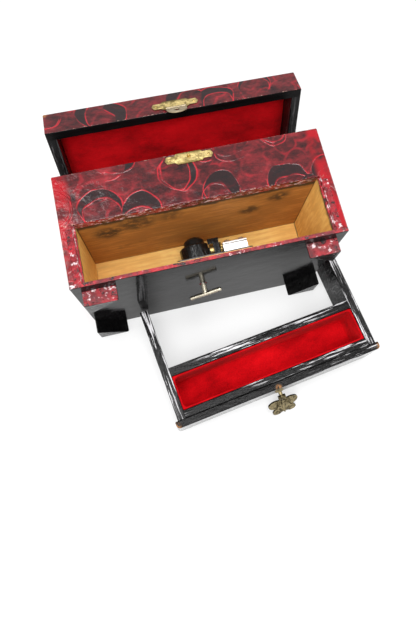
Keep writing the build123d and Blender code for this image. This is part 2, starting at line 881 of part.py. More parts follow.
with BuildPart() as comb_screws:
    dome_heads(
        Plane.XY.offset(comb_z + comb_thickness),
        [(comb_middle_x + s * comb_screw_spacing / 2, sum(comb_base_y) / 2) for s in (-1, 1)],
        screw_head_radius,
        screw_head_height,
    )
comb_screws.part.label = "comb_screws"

# governor in its bright housing, with two round bosses on top
governor_y = (arbor_y - governor_depth / 2, arbor_y + governor_depth / 2)
governor_right = governor_left + governor_width
governor_top = bed_top + governor_height
with BuildPart() as governor_housing:
    block((governor_left, governor_right), governor_y, (bed_top, governor_top))
    fillet(governor_housing.edges().group_by(Axis.Z)[-1], governor_edge_radius)
    with Locations((governor_left, arbor_y, cylinder_z)):
        Cylinder(
            cylinder_arbor_radius + running_clearance,
            4 * governor_gap,
            rotation=(0, 90, 0),
            mode=Mode.SUBTRACT,
        )
    with Locations((governor_left, pinion_y, cylinder_z)):
        Cylinder(
            pinion_arbor_radius + running_clearance,
            4 * governor_gap,
            rotation=(0, 90, 0),
            mode=Mode.SUBTRACT,
        )
governor_housing.part.label = "governor_housing"

with BuildPart() as governor_caps:
    boss_x = (governor_left + governor_right) / 2
    boss_y = governor_y[0] + governor_cap_inset
    with Locations(
        *[(boss_x + s * governor_cap_spacing / 2, boss_y, governor_top) for s in (-1, 1)]
    ):
        Cone(
            governor_cap_radius,
            governor_cap_top_radius,
            governor_cap_height,
            align=(Align.CENTER, Align.CENTER, Align.MIN),
        )
governor_caps.part.label = "governor_caps"

# winding arbor through the board, and the T-shaped key screwed on it
with BuildPart() as winding_arbor:
    arbor_low = -key_gap
    with Locations((arbor_x, arbor_y, arbor_low)):
        Cylinder(
            arbor_radius,
            housing_top + cap_height - arbor_low,
            align=(Align.CENTER, Align.CENTER, Align.MIN),
        )
winding_arbor.part.label = "winding_arbor"

with BuildPart() as winding_key:
    with Locations((arbor_x, arbor_y, stem_end_z)):
        Cylinder(
            key_stem_radius,
            key_stem_length - key_gap,
            align=(Align.CENTER, Align.CENTER, Align.MIN),
        )
    bar_z = stem_end_z - key_bar_drop
    with Locations((arbor_x, arbor_y, bar_z)):
        Cylinder(key_bar_radius, key_bar_length - 2 * key_bar_radius, rotation=(0, 90, 0))
    for end in (-1, 1):
        with Locations((arbor_x + end * (key_bar_length / 2 - key_bar_radius), arbor_y, bar_z)):
            Sphere(key_bar_radius)
winding_key.part.label = "winding_key"

# rest: the case lies on the back edges of its rear feet and of its lid, on the table
opened = radians(lid_open_angle)
lid_edge_y = hinge_y - hinge_offset * cos(opened) + lid_height * sin(opened)
lid_edge_z = case_height + hinge_offset * sin(opened) + lid_height * cos(opened)
lean = atan2(lid_edge_y - case_depth, lid_edge_z + foot_height)
case_plane = Plane(
    (
        0,
        foot_height * cos(lean) - case_depth * sin(lean),
        case_depth * cos(lean) + foot_height * sin(lean),
    ),
    x_dir=(1, 0, 0),
    z_dir=(0, cos(lean), sin(lean)),
)
case_place = case_plane.location
lid_axis = Location((0, hinge_y, case_height))
lid_place = case_place * lid_axis * Location((0, 0, 0), (-lid_open_angle, 0, 0)) * lid_axis.inverse()
hasp_axis = Location((0, -hasp_hinge_offset, hasp_hinge_z))
hasp_place = lid_place * hasp_axis * Location((0, 0, 0), (-hasp_swing_angle, 0, 0)) * hasp_axis.inverse()
key_axis = Location((arbor_x, arbor_y, 0))
key_place = case_place * key_axis * Location((0, 0, 0), (0, 0, key_turn)) * key_axis.inverse()
drawer_corner = Location((0, front_outer_y, drawer_bottom))
drawer_place = (
    Location((drawer_side_shift, -drawer_pulled, 0), (0, 0, drawer_yaw)) * drawer_corner.inverse()
)
pull_axis = Location((0, pull_axis_y, pull_z))
pull_place = drawer_place * pull_axis * Location((0, 0, 0), (pull_drop_angle, 0, 0)) * pull_axis.inverse()

groups = [
    (
        case_place,
        [
            *case_sides,
            case_back,
            case_front_panel,
            compartment_floor,
            stop_panel,
            bottom_board,
            compartment_lining,
            front_feet,
            rear_feet,
            hinge_case_leaves,
            hinge_case_screws,
            hinge_pins,
            catch_plate,
            catch_rivets,
            catch_stud,
            movement_block,
            bedplate,
            bedplate_screws,
            spring_housing,
            housing_cap,
            housing_bracket,
            cylinder_bracket,
            comb,
            comb_riser,
            comb_screws,
            governor_housing,
            governor_caps,
            cylinder,
            cylinder_gear,
            governor_pinion,
        ],
    ),
    (
        lid_place,
        [
            lid_front_rail,
            lid_back_rail,
            lid_side_rails,
            lid_top_panel,
            lid_lining,
            hinge_lid_leaves,
            hinge_lid_screws,
            hasp_plate,
            hasp_rivets,
            hasp_pin,
        ],
    ),
    (hasp_place, [hasp_tongue]),
    (key_place, [winding_arbor, winding_key]),
    (
        drawer_place,
        [
            drawer_front,
            *drawer_arms,
            tray_bottom,
            tray_front_rail,
            tray_back_rail,
            tray_lining,
            pull_rosette,
        ],
    ),
    (pull_place, [butterfly_pull]),
]

# the origin is under the middle of the whole, on the table
placed = [piece.part.moved(place) for place, pieces in groups for piece in pieces]
boxes = [piece.bounding_box() for piece in placed]
middle_x = (min(box.min.X for box in boxes) + max(box.max.X for box in boxes)) / 2
middle_y = (min(box.min.Y for box in boxes) + max(box.max.Y for box in boxes)) / 2
lowest_z = min(box.min.Z for box in boxes)
centring = Location((-middle_x, -middle_y, -lowest_z))

for place, pieces in groups:
    for piece in pieces:
        piece.part.move(centring * place)
        export_step(piece.part, f"parts/{piece.part.label}.step")


def show_axis(name, place, point, direction):
    """Print where a joint's axis lies in the finished part, in millimetres."""
    frame = centring * place
    start = (frame * Location(point)).position
    end = (frame * Location(tuple(p + d for p, d in zip(point, direction)))).position
    along = (end - start).normalized()
    print(name, *[round(value, 4) for value in (*tuple(start), *tuple(along))])


show_axis("lid_hinge", case_place, (0, hinge_y, case_height), (-1, 0, 0))
show_axis("hasp_swing", lid_place, (0, -hasp_hinge_offset, hasp_hinge_z), (-1, 0, 0))
show_axis("key_wind", case_place, (arbor_x, arbor_y, 0), (0, 0, 1))
show_axis("cylinder_turn", case_place, (cylinder_left, arbor_y, cylinder_z), (1, 0, 0))
show_axis("pinion_turn", case_place, (cylinder_left, pinion_y, cylinder_z), (1, 0, 0))
show_axis("drawer_slide", drawer_place, (0, front_outer_y, drawer_bottom), (0, -1, 0))
show_axis("pull_swing", drawer_place, (0, pull_axis_y, pull_z), (-1, 0, 0))
show_axis("case_frame_z", case_place, (0, 0, 0), (0, 0, 1))
show_axis("case_frame_y", case_place, (0, 0, 0), (0, 1, 0))
print("case leans", round(degrees(lean), 4))
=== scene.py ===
"""Looks of the musical jewelry box: its case on its back, lid ajar, drawer out, movement and key showing."""

import json
from math import cos, radians, sin

import bmesh
import bpy
from mathutils import Matrix, Vector


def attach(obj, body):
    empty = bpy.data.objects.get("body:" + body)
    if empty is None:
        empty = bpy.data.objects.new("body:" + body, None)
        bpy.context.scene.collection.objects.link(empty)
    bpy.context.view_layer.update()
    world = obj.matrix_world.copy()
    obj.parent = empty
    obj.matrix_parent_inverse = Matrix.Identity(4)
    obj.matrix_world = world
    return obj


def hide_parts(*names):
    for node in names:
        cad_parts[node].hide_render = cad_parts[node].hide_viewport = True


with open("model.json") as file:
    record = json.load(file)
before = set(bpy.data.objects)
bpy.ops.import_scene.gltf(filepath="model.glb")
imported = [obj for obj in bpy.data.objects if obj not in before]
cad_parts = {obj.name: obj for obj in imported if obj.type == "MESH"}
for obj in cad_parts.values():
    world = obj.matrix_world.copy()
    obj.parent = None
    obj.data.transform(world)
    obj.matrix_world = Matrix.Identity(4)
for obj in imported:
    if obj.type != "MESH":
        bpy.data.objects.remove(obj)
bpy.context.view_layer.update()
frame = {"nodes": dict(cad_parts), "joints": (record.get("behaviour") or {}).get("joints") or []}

# Camera.
# The photograph looks down on the box from the front left, through a normal lens. Its place
# from the lid's hinge, its turn and its lens come from fitting the box's corners.
MM = 0.001
joints = {joint["name"]: joint for joint in frame["joints"]}
hinge_place = Vector(joints["lid_hinge"]["pos_m"])
camera_place = hinge_place + Vector((-42.617, -221.849, 513.632)) * MM
camera_right = Vector((0.970126, -0.236949, 0.05206))
camera_forward = Vector((0.127989, 0.317588, -0.939551))
photo_width = 416
photo_height = 620
focal_pixels = 569.1
centre_column = 226.4
centre_row = 258.1
sensor_width = 36.0
camera_data = bpy.data.cameras.new("photo_camera")
camera_data.sensor_width = sensor_width
camera_data.lens = focal_pixels / photo_height * sensor_width
camera_data.shift_x = (photo_width / 2 - centre_column) / photo_height
camera_data.shift_y = (centre_row - photo_height / 2) / photo_height
camera_data.clip_start = 10 * MM
camera = bpy.data.objects.new("photo_camera", camera_data)
bpy.context.scene.collection.objects.link(camera)
camera_up = camera_right.cross(camera_forward)
camera_turn = Matrix((camera_right, camera_up, -camera_forward)).transposed()
camera.matrix_world = Matrix.Translation(camera_place) @ camera_turn.to_4x4()
bpy.context.scene.camera = camera

# Case boards.
# Two side boards, a front panel above the drawer's opening and a back, glued and lacquered
# over. The case lies on its back and leans a little, so its own right, back and up are askew.
case_right = -Vector(joints["lid_hinge"]["axis"]).normalized()
case_up = Vector(joints["key_wind"]["axis"]).normalized()
case_axes = Matrix((case_right, case_up.cross(case_right), case_up)).transposed()


def span(node, axes):
    """A node's lowest and highest corners along a part's own axes."""
    turned_back = axes.transposed()
    points = [turned_back @ v.co for v in frame["nodes"][node].data.vertices]
    low = Vector([min(p[i] for p in points) for i in range(3)])
    high = Vector([max(p[i] for p in points) for i in range(3)])
    return low, high


class Field:
    """A socket in a material. Arithmetic on it adds Math nodes."""

    def __init__(self, finish, socket):
        self.finish = finish
        self.socket = socket

    def math(self, operation, *values):
        """One Math node, whose sockets take fields or numbers in order."""
        return self.finish.node("ShaderNodeMath", {"operation": operation}, dict(enumerate(values)))

    def __add__(self, other):
        return self.math("ADD", self, other)

    def __sub__(self, other):
        return self.math("SUBTRACT", self, other)

    def __mul__(self, other):
        return self.math("MULTIPLY", self, other)

    def __radd__(self, other):
        return self.math("ADD", other, self)

    def __rsub__(self, other):
        return self.math("SUBTRACT", other, self)

    def __rmul__(self, other):
        return self.math("MULTIPLY", other, self)

    def __abs__(self):
        return self.math("ABSOLUTE", self)

    def between(self, low, high):
        """Runs smoothly from 0 at low to 1 at high."""
        values = {"Value": self, "From Min": low, "From Max": high}
        return self.finish.node("ShaderNodeMapRange", {"interpolation_type": "SMOOTHSTEP"}, values)


class Finish:
    """A procedural material for one of the box's surfaces."""

    def __init__(self, name, axes, **fixed):
        self.material = bpy.data.materials.new(name)
        self.material.use_nodes = True
        self.tree = self.material.node_tree
        self.surface = self.tree.nodes["Principled BSDF"]
        for socket, value in fixed.items():
            self.surface.inputs[socket.replace("_", " ")].default_value = value
        turn = axes.transposed().to_euler()
        place = self.node("ShaderNodeTexCoord", output="Object")
        self.place = self.node("ShaderNodeMapping", None, {"Vector": place, "Rotation": turn})

    def node(self, kind, settings=None, values=None, output=0):
        """Any node: its settings first, then the values or links of its sockets."""
        made = self.tree.nodes.new(kind)
        for key, value in (settings or {}).items():
            if key == "stops":
                ramp = made.color_ramp
                while len(ramp.elements) < len(value):
                    ramp.elements.new(0.5)
                for element, (at, colour) in zip(ramp.elements, value):
                    element.position = at
                    element.color = (*colour, 1)
            else:
                setattr(made, key, value)
        for key, value in (values or {}).items():
            if isinstance(value, Field):
                self.tree.links.new(value.socket, made.inputs[key])
            else:
                made.inputs[key].default_value = value
        return Field(self, made.outputs[output])

    def set(self, socket, field):
        """Gives one of the shader's sockets a value that varies over the surface."""
        self.tree.links.new(field.socket, self.surface.inputs[socket])

    def noise(self, size, detail=3.0, roughness=0.55, stretch=None):
        """Cloudy values whose blobs are about size across, in metres."""
        place = self.place
        if stretch:
            place = self.vector("MULTIPLY", place, stretch)
        values = {"Vector": place, "Scale": 1 / size, "Detail": detail, "Roughness": roughness}
        return self.node("ShaderNodeTexNoise", None, values)

    def vector(self, operation, first, second, output=0):
        """Vector Math on two places or colours."""
        settings = {"operation": operation}
        return self.node("ShaderNodeVectorMath", settings, {0: first, 1: second}, output)

    def ramp(self, value, *stops):
        """Colours that follow a value, each stop a value and its colour."""
        return self.node("ShaderNodeValToRGB", {"stops": stops}, {0: value})

    def mix(self, factor, first, second):
        """The second colour over the first where the factor is 1.

        A Mix node's colours are its inputs 6 and 7 and its output 2.
        """
        first = first if isinstance(first, Field) else (*first, 1)
        second = second if isinstance(second, Field) else (*second, 1)
        return self.node("ShaderNodeMix", {"data_type": "RGBA"}, {0: factor, 6: first, 7: second}, 2)

    def axis(self, letter):
        """A point's X, Y or Z along the part's own axes, in metres."""
        return self.node("ShaderNodeSeparateXYZ", None, {0: self.place}, letter)

    def near(self, point, reach):
        """1 at a point, 0 beyond its reach."""
        return self.vector("DISTANCE", self.place, point, "Value").between(reach, reach * 0.3)

    def bump(self, height, depth):
        """Relief of the given depth, in metres."""
        relief = {"Height": height, "Strength": 1.0, "Distance": depth}
        self.set("Normal", self.node("ShaderNodeBump", None, relief))


tan_wood = (0.3, 0.135, 0.045)
rubbed_edge = (0.5, 0.3, 0.24)
flake_pink = (0.86, 0.68, 0.7)
chip_black = (0.014, 0.006, 0.007)
dust_grey = (0.2, 0.19, 0.19)
ridge_highlight_white = (0.8, 0.79, 0.81)
soot = (0.045, 0.026, 0.012)


def worn_lines(finish, ground, edges):
    """Small bare dots and scrapes along edges, each given as an axis letter and a value."""
    speckle = finish.noise(2.2 * MM, 4.0, 0.75)
    for letter, value in edges:
        beside = abs(finish.axis(letter) - value).between(1.3 * MM, 0.4 * MM)
        ground = finish.mix(beside * speckle.between(0.56, 0.64), ground, rubbed_edge)
    return ground


def flaked(finish, pale):
    """Thick red lacquer that has chipped to black and, more with pale up to 1, to pale pink."""
    chips = finish.noise(3 * MM, 7.0, 0.74, stretch=(0.55, 1, 0.7))
    blotch = finish.noise(10 * MM, 4.0, 0.6)
    ground = finish.ramp(
        blotch,
        (0.34, (0.04, 0.003, 0.005)),
        (0.48, (0.21, 0.005, 0.011)),
        (0.62, (0.46, 0.012, 0.024)),
    )
    flake_start = 0.645 - pale * 0.14
    flakes = chips.between(flake_start, flake_start + 0.055)
    ground = finish.mix(flakes, ground, flake_pink)
    return finish.mix(chips.between(0.44, 0.4), ground, chip_black), chips


def marbled(name, axes, across, along, columns=None, edges=(), post=None, corner=None, glow=1.0):
    """Red and black lacquer swirled by hand, under a thick uneven gloss.

    Charcoal crescents with thin bright red arcs lie on a brushed wine-red ground, in the plane
    of the two axis letters. columns, (low, high, width), are redder bands at the two ends,
    edges are rubbed, post, (middle, reach, top), is chipped, and corner is bare wood.
    """
    bend = 16 * MM
    crescent_spacing = 34 * MM
    outer_radius = 13.8 * MM
    inner_radius = 13.4 * MM
    arc_spacing = 21 * MM
    arc_radius = 9.8 * MM
    line_red = (0.5, 0.016, 0.028)
    arc_red = (0.4, 0.014, 0.026)
    column_red = (0.4, 0.005, 0.012)
    charcoal = (0.014, 0.01, 0.011)
    finish = Finish(name, axes, Specular_IOR_Level=0.3)
    wander_across = finish.noise(40 * MM, 2.0)
    wander_along = finish.noise(33 * MM, 2.0)
    bent_across = finish.axis(across) + (wander_across - 0.5) * bend
    bent_along = finish.axis(along) + (wander_along - 0.5) * bend
    place = finish.node("ShaderNodeCombineXYZ", None, {0: bent_across, 1: bent_along})
    cell = {"Vector": place, "Scale": 1 / crescent_spacing, "Randomness": 0.9}
    small_cell = {"Vector": place, "Scale": 1 / arc_spacing, "Randomness": 1.0}
    flat = {"voronoi_dimensions": "2D"}
    centre = finish.node("ShaderNodeTexVoronoi", flat, cell, "Position")
    chance = finish.node("ShaderNodeTexVoronoi", flat, cell, "Color")
    present = finish.vector("DOT_PRODUCT", chance, (0, 0, 1), "Value").between(0.08, 0.16)
    lean = finish.vector("SUBTRACT", chance, (0.5, 0.95, 0.5))
    lean = finish.vector("MULTIPLY", lean, (18 * MM, 11 * MM, 0))
    arm = finish.vector("SUBTRACT", place, centre)
    outer = finish.vector("DISTANCE", place, centre, "Value")
    inner = finish.vector("DISTANCE", arm, lean, "Value")
    crescent = outer.between(outer_radius + 0.3 * MM, outer_radius - 0.6 * MM)
    crescent = crescent * inner.between(inner_radius - 0.6 * MM, inner_radius + 0.6 * MM) * present
    outline = abs(outer - outer_radius - 0.5 * MM).between(0.8 * MM, 0.1 * MM)
    outline = outline + abs(inner - inner_radius + 0.7 * MM).between(0.7 * MM, 0.1 * MM)
    small_centre = finish.node("ShaderNodeTexVoronoi", flat, small_cell, "Position")
    stroke = finish.vector("DISTANCE", place, small_centre, "Value")
    arcs = abs(stroke - arc_radius).between(1.6 * MM, 0.2 * MM)
    brushed = finish.noise(6 * MM, 6.0, 0.72, stretch=(0.5, 1, 1))
    cloud = finish.noise(26 * MM, 3.0)
    ground = finish.ramp(
        brushed * 0.7 + cloud * 0.34 + arcs * 0.05,
        (0.38, (0.016, 0.006, 0.007)),
        (0.5, (0.075 * glow, 0.011, 0.013)),
        (0.6, (0.16 * glow, 0.015, 0.019)),
        (0.76, (0.34 * glow, 0.03, 0.038)),
    )
    rubbed = finish.noise(16 * MM, 3.0).between(0.4, 0.56)
    faded = finish.noise(12 * MM, 2.0).between(0.5, 0.62)
    ground = finish.mix(arcs * faded * 0.34, ground, arc_red)
    ground = finish.mix(outline * rubbed * 0.75, ground, line_red)
    shaded = crescent * (0.4 + brushed * 0.95)
    ground = finish.mix(shaded, ground, charcoal)
    height = finish.noise(11 * MM, 3.0) + brushed * 0.2 + outline * 0.15
    if columns:
        low, high, width = columns
        x = finish.axis("X")
        column = x.between(low + width, low + width * 0.5) + x.between(high - width, high - width * 0.5)
        patchy = finish.noise(18 * MM, 3.0).between(0.32, 0.56)
        ground = finish.mix(column * patchy * 0.85, ground, column_red)
    ground = worn_lines(finish, ground, edges)
    if post:
        middle, reach, top = post
        band = abs(finish.axis("X") - middle).between(reach + 0.4 * MM, reach - 0.2 * MM)
        band = band * finish.axis("Z").between(top + 0.8 * MM, top)
        pale_ground, chips = flaked(finish, 0.4)
        ground = finish.mix(band, ground, pale_ground)
        height = height + (chips * 1.2 - 0.9) * band
    if corner:
        bare = finish.near(corner, 5.2 * MM) * finish.noise(3 * MM, 3.0).between(0.3, 0.5)
        ground = finish.mix(bare, ground, tan_wood)
    finish.set("Base Color", ground)
    finish.set("Roughness", finish.noise(20 * MM, 4.0).between(0.35, 0.8) * 0.2 + 0.1)
    finish.bump(height, 0.9 * MM)
    return finish.material


def worn_lacquer(name, axes, pale):
    """Lacquered edges that are chipped all over."""
    finish = Finish(name, axes)
    ground, chips = flaked(finish, pale)
    finish.set("Base Color", ground)
    finish.set("Roughness", chips * 0.45 + 0.08)
    finish.bump(chips, 1.4 * MM)
    return finish.material


def black_lacquer(
    name, axes, depth, streak=(1, 1, 1), tint=0.005, gloss=0.07, shine=0.12, ridge_highlights=0, corners=()
):
    """Thick glossy black lacquer, brushed on by hand, with painted highlights along its brush ridges.

    depth is how deep the brush marks are, and streak draws them out along an axis. tint is how
    bright the black is, gloss its least roughness and shine its mirror. ridge_highlights, from 0
    to 1, is how strong the painted highlights on its ridges are, and corners are places, each
    with a reach, worn to bare wood.
    """
    finish = Finish(name, axes, Specular_IOR_Level=shine)
    strokes = finish.noise(5.5 * MM, 6.0, 0.62, stretch=streak)
    wide_strokes = finish.noise(20 * MM, 3.0, 0.5, stretch=streak)
    dust = finish.noise(1.6 * MM, 3.0, 0.7)
    ground = finish.ramp(
        strokes,
        (0.3, (tint * 0.6, tint * 0.56, tint * 0.6)),
        (0.7, (tint * 1.6, tint * 1.5, tint * 1.55)),
    )
    ground = finish.mix(dust.between(0.7, 0.78) * 0.12, ground, dust_grey)
    # Painted highlights: pale streaks on the brush ridges stand in for light caught there.
    if ridge_highlights:
        long_streak = tuple(share * share for share in streak)
        fine = finish.noise(1.7 * MM, 5.0, 0.66, stretch=long_streak)
        ridge = fine.between(0.54, 0.6) * wide_strokes.between(0.4, 0.54)
        ground = finish.mix(ridge * ridge_highlights, ground, ridge_highlight_white)
    for point, reach in corners:
        bare = finish.near(point, reach) * finish.noise(2.8 * MM, 3.0).between(0.36, 0.52)
        ground = finish.mix(bare, ground, tan_wood)
    finish.set("Base Color", ground)
    finish.set("Roughness", strokes.between(0.4, 0.8) * 0.16 + gloss)
    finish.bump(strokes + dust * 0.05, depth)
    return finish.material


def plywood(name, axes, light, dark, grain, stain, marks=(), edge=None, joint_lines=()):
    """Bare veneer with grain, clouds and brown stains.

    marks are round stains, each a place, a reach and a strength. edge, a Y and a reach, is
    blackened with soot, and joint_lines, each an axis letter and a value, are dark.
    """
    finish = Finish(name, axes)
    fibre = finish.noise(2.2 * MM, 6.0, 0.66, stretch=grain)
    cloud = finish.noise(30 * MM, 4.0, 0.55)
    ground = finish.ramp(
        fibre * 0.66 + cloud * 0.34,
        (0.3, tuple(c * 0.8 for c in dark)),
        (0.48, dark),
        (0.6, light),
        (0.8, tuple(min(c * 1.12, 0.95) for c in light)),
    )
    spots = finish.noise(22 * MM, 4.0, 0.65)
    ground = finish.mix(spots.between(0.62, 0.74) * stain, ground, soot)
    for point, reach, strength in marks:
        ragged = finish.noise(6 * MM, 5.0, 0.65).between(0.32, 0.56)
        ground = finish.mix(finish.near(point, reach) * ragged * strength, ground, soot)
    if edge:
        value, reach = edge
        ragged = finish.axis("Y") + finish.noise(14 * MM, 5.0, 0.7) * reach * 2.2
        ground = finish.mix(ragged.between(value + reach * 2.1, value + reach * 1.5), ground, soot)
    for letter, value in joint_lines:
        line = abs(finish.axis(letter) - value).between(1.1 * MM, 0.4 * MM)
        ground = finish.mix(line * cloud.between(0.36, 0.5) * 0.85, ground, soot)
    finish.set("Base Color", ground)
    finish.set("Roughness", fibre * 0.2 + 0.5)
    finish.bump(fibre, 0.22 * MM)
    return finish.material


side_low, side_high = span("case_side_left", case_axes)
far_side_high = span("case_side_right", case_axes)[1]
board_low, board_high = span("bottom_board", case_axes)
panel_low, panel_high = span("case_front_panel", case_axes)
front_y = side_low.y
left_x = side_low.x
right_x = far_side_high.x
middle_x = (left_x + right_x) / 2
inner_reach = panel_high.x - middle_x
underside_z = board_low.z
rim_z = side_high.z
opening_z = panel_low.z
column_width = 13 * MM
chipped_width = 6.4 * MM
chipped_below = 3 * MM
case_edges = (("Z", rim_z), ("X", left_x), ("X", right_x), ("Z", opening_z))
front_columns = (left_x, right_x, column_width)
post_band = (middle_x, inner_reach + chipped_width, opening_z - chipped_below)
marble_front = marbled("marbled_front", case_axes, "X", "Z", front_columns, case_edges)
marble_post = marbled("marbled_post", case_axes, "X", "Z", front_columns, case_edges, post_band)
marble_side = marbled("marbled_side", case_axes, "Y", "Z", None, (("Y", front_y), ("Z", rim_z)))
worn_edge = worn_lacquer("worn_edge", case_axes, 0.8)
black_back = black_lacquer("black_back", case_axes, 0.4 * MM, gloss=0.09)
# The rim's pale streaks on its brush ridges are painted highlights.
black_rim = black_lacquer(
    "black_rim", case_axes, 0.5 * MM, streak=(0.2, 1, 1), tint=0.006, gloss=0.1, ridge_highlights=0.3
)
wood_light = (0.95, 0.62, 0.18)
wood_dark = (0.82, 0.46, 0.11)
grain_inwards = (1, 0.12, 1)
grain_across = (0.1, 1, 1)
sooty_edge = (front_y, 7.5 * MM)
ply_side = plywood(
    "plywood_side", case_axes, wood_light, wood_dark, grain_inwards, 0.3, edge=sooty_edge
)


def new_piece(name, mesh):
    """A piece at the origin, with its place in its mesh."""
    piece = bpy.data.objects.new(name, mesh)
    bpy.context.scene.collection.objects.link(piece)
    return piece


def stand_for(piece, node, body):
    """The piece rides on a body in place of a CAD node."""
    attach(piece, body)
    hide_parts(node)


def apply_modifier(piece, modifier):
    """Turns a piece with one modifier into a plain mesh."""
    evaluated = piece.evaluated_get(bpy.context.evaluated_depsgraph_get())
    piece.data = bpy.data.meshes.new_from_object(evaluated)
    piece.data.name = piece.name
    piece.modifiers.remove(modifier)


def welded(node):
    """A CAD node's loose triangles, joined at their corners."""
    shape = bmesh.new()
    shape.from_mesh(frame["nodes"][node].data)
    bmesh.ops.remove_doubles(shape, verts=shape.verts, dist=0.001 * MM)
    return shape


def worked_copy(node, name, body, axes, rule, edge_width, seams=(), segments=3):
    """A copy of a CAD piece with softened edges, painted face by face, which stands for it.

    rule takes a face's centre and normal along the part's own axes and gives a material.
    Edges of a face in a seam, a plane (axis, value) where another piece meets it, stay sharp.
    """
    flat_turn = radians(1)
    sharp_turn = radians(35)
    shaded_turn = radians(32)
    seam_reach = 0.2 * MM
    shape = welded(node)
    bmesh.ops.dissolve_limit(shape, angle_limit=flat_turn, verts=shape.verts, edges=shape.edges)
    shape.normal_update()
    back = axes.transposed()

    def on_seam(face):
        centre = back @ face.calc_center_median()
        normal = back @ face.normal
        return any(
            abs(normal[axis]) > 0.9 and abs(centre[axis] - value) < seam_reach for axis, value in seams
        )

    seam_faces = {face for face in shape.faces if on_seam(face)}
    soft_edges = [
        edge
        for edge in shape.edges
        if len(edge.link_faces) == 2
        and edge.calc_face_angle() > sharp_turn
        and not any(face in seam_faces for face in edge.link_faces)
    ]
    if soft_edges:
        bmesh.ops.bevel(
            shape, geom=soft_edges, offset=edge_width, segments=segments, profile=0.5,
            affect="EDGES", clamp_overlap=True,
        )
    shape.normal_update()
    materials = []
    for face in shape.faces:
        material = rule(back @ face.calc_center_median(), back @ face.normal)
        if material not in materials:
            materials.append(material)
        face.material_index = materials.index(material)
    mesh = frame["nodes"][node].data.copy()
    mesh.name = name
    mesh.materials.clear()
    for material in materials:
        mesh.materials.append(material)
    shape.to_mesh(mesh)
    shape.free()
    piece = new_piece(name, mesh)
    mesh.shade_smooth()
    mesh.set_sharp_from_angle(angle=shaded_turn)
    weighted = piece.modifiers.new("flat_faces", "WEIGHTED_NORMAL")
    weighted.keep_sharp = True
    weighted.weight = 100
    apply_modifier(piece, weighted)
    stand_for(piece, node, body)


case_edge_width = 0.9 * MM
lacquer_inwards = 4 * MM


def side_rule(centre, normal):
    """Which finish a face of the case's side boards has."""
    inward = normal.x * (centre.x - middle_x) < 0
    if abs(normal.x) > 0.7 and inward:
        return worn_edge if centre.y < front_y + lacquer_inwards else ply_side
    if normal.y < -0.4:
        return marble_post
    if normal.z > 0.7:
        return black_rim
    return marble_side if abs(normal.x) > 0.5 else black_back


board_seams = ((2, board_high.z),)
for side, seam_x in (("left", panel_low.x), ("right", panel_high.x)):
    node = f"case_side_{side}"
    seams = ((0, seam_x), *board_seams)
    worked_copy(node, f"{side}_side_board", "case", case_axes, side_rule, case_edge_width, seams)


def panel_rule(centre, normal):
    """Which finish a face of the front panel has."""
    if normal.y < -0.4:
        return marble_front
    return worn_edge if normal.z < -0.5 else black_rim


panel_seams = ((0, panel_low.x), (0, panel_high.x), (1, panel_high.y))
worked_copy(
    "case_front_panel", "front_panel", "case", case_axes, panel_rule, case_edge_width, panel_seams
)


def back_rule(centre, normal):
    """Which finish a face of the back has."""
    return black_back if normal.y > 0.4 else black_rim


thin_edge_width = 0.6 * MM
back_seams = ((0, panel_low.x), (0, panel_high.x), *board_seams)
worked_copy("case_back", "back_panel", "case", case_axes, back_rule, thin_edge_width, back_seams)

# Bottom board.
# A thin board under the whole case: black and glossy outside, bare inside the cavity, with
# a red lacquered front edge and a hole for the winding arbor.
black_under = black_lacquer(
    "black_underside", case_axes, 0.22 * MM, streak=(0.3, 0.3, 1), tint=0.006, gloss=0.05, shine=0.035
)
red_edge = worn_lacquer("red_edge", case_axes, 0.35)
ply_bottom = plywood("plywood_bottom", case_axes, wood_light, wood_dark, grain_across, 0.2)


def bottom_rule(centre, normal):
    """Which finish a face of the bottom board has."""
    if normal.z < -0.5:
        return black_under
    if normal.z > 0.5:
        return ply_bottom
    return red_edge if normal.y < -0.4 else black_back


worked_copy(
    "bottom_board", "bottom_panel", "case", case_axes, bottom_rule, thin_edge_width, board_seams
)

# Inside of the cavity.
# Bare plywood: the panel that stops the drawer, the compartment's floor that is the cavity's
# ceiling, with round stains and a sooty edge, and the block under the movement. The ceiling's
# plywood is painted darker and browner than the rest, as painted shade, and the stop panel's a
# little paler, as painted light.
# Painted shade and light: the ceiling's colours are a darker, browner copy of the cavity's plywood, and the
# stop's a slightly paler one.
ceiling_light_shaded = (0.54, 0.255, 0.06)
ceiling_dark_shaded = (0.38, 0.165, 0.035)
stop_light = (0.98, 0.66, 0.2)
stop_dark = (0.88, 0.52, 0.13)
stains = tuple(
    (Vector((middle_x + across * MM, front_y + inwards * MM, opening_z)), reach * MM, strength)
    for across, inwards, reach, strength in (
        (64, 24, 13, 0.95),
        (42, 41, 12, 0.9),
        (-70, 30, 16, 1.0),
        (-48, 21, 20, 0.9),
        (-22, 20, 13, 0.6),
    )
)
ceiling_edge = (front_y + 8 * MM, 6 * MM)
stop_low = span("stop_panel", case_axes)[0]
cavity_sides = (("X", panel_low.x), ("X", panel_high.x))
ply_ceiling = plywood(
    "plywood_ceiling", case_axes, ceiling_light_shaded, ceiling_dark_shaded, grain_across, 0.35, stains,
    ceiling_edge, (("Y", stop_low.y), *cavity_sides),
)
ply_stop = plywood(
    "plywood_stop", case_axes, stop_light, stop_dark, grain_across, 0.12, joint_lines=cavity_sides
)


def repaint(node, material):
    """A CAD piece whose shape is right gets its finish."""
    frame["nodes"][node].data.materials.clear()
    frame["nodes"][node].data.materials.append(material)


repaint("compartment_floor", ply_ceiling)
repaint("stop_panel", ply_stop)
repaint("movement_block", ply_side)

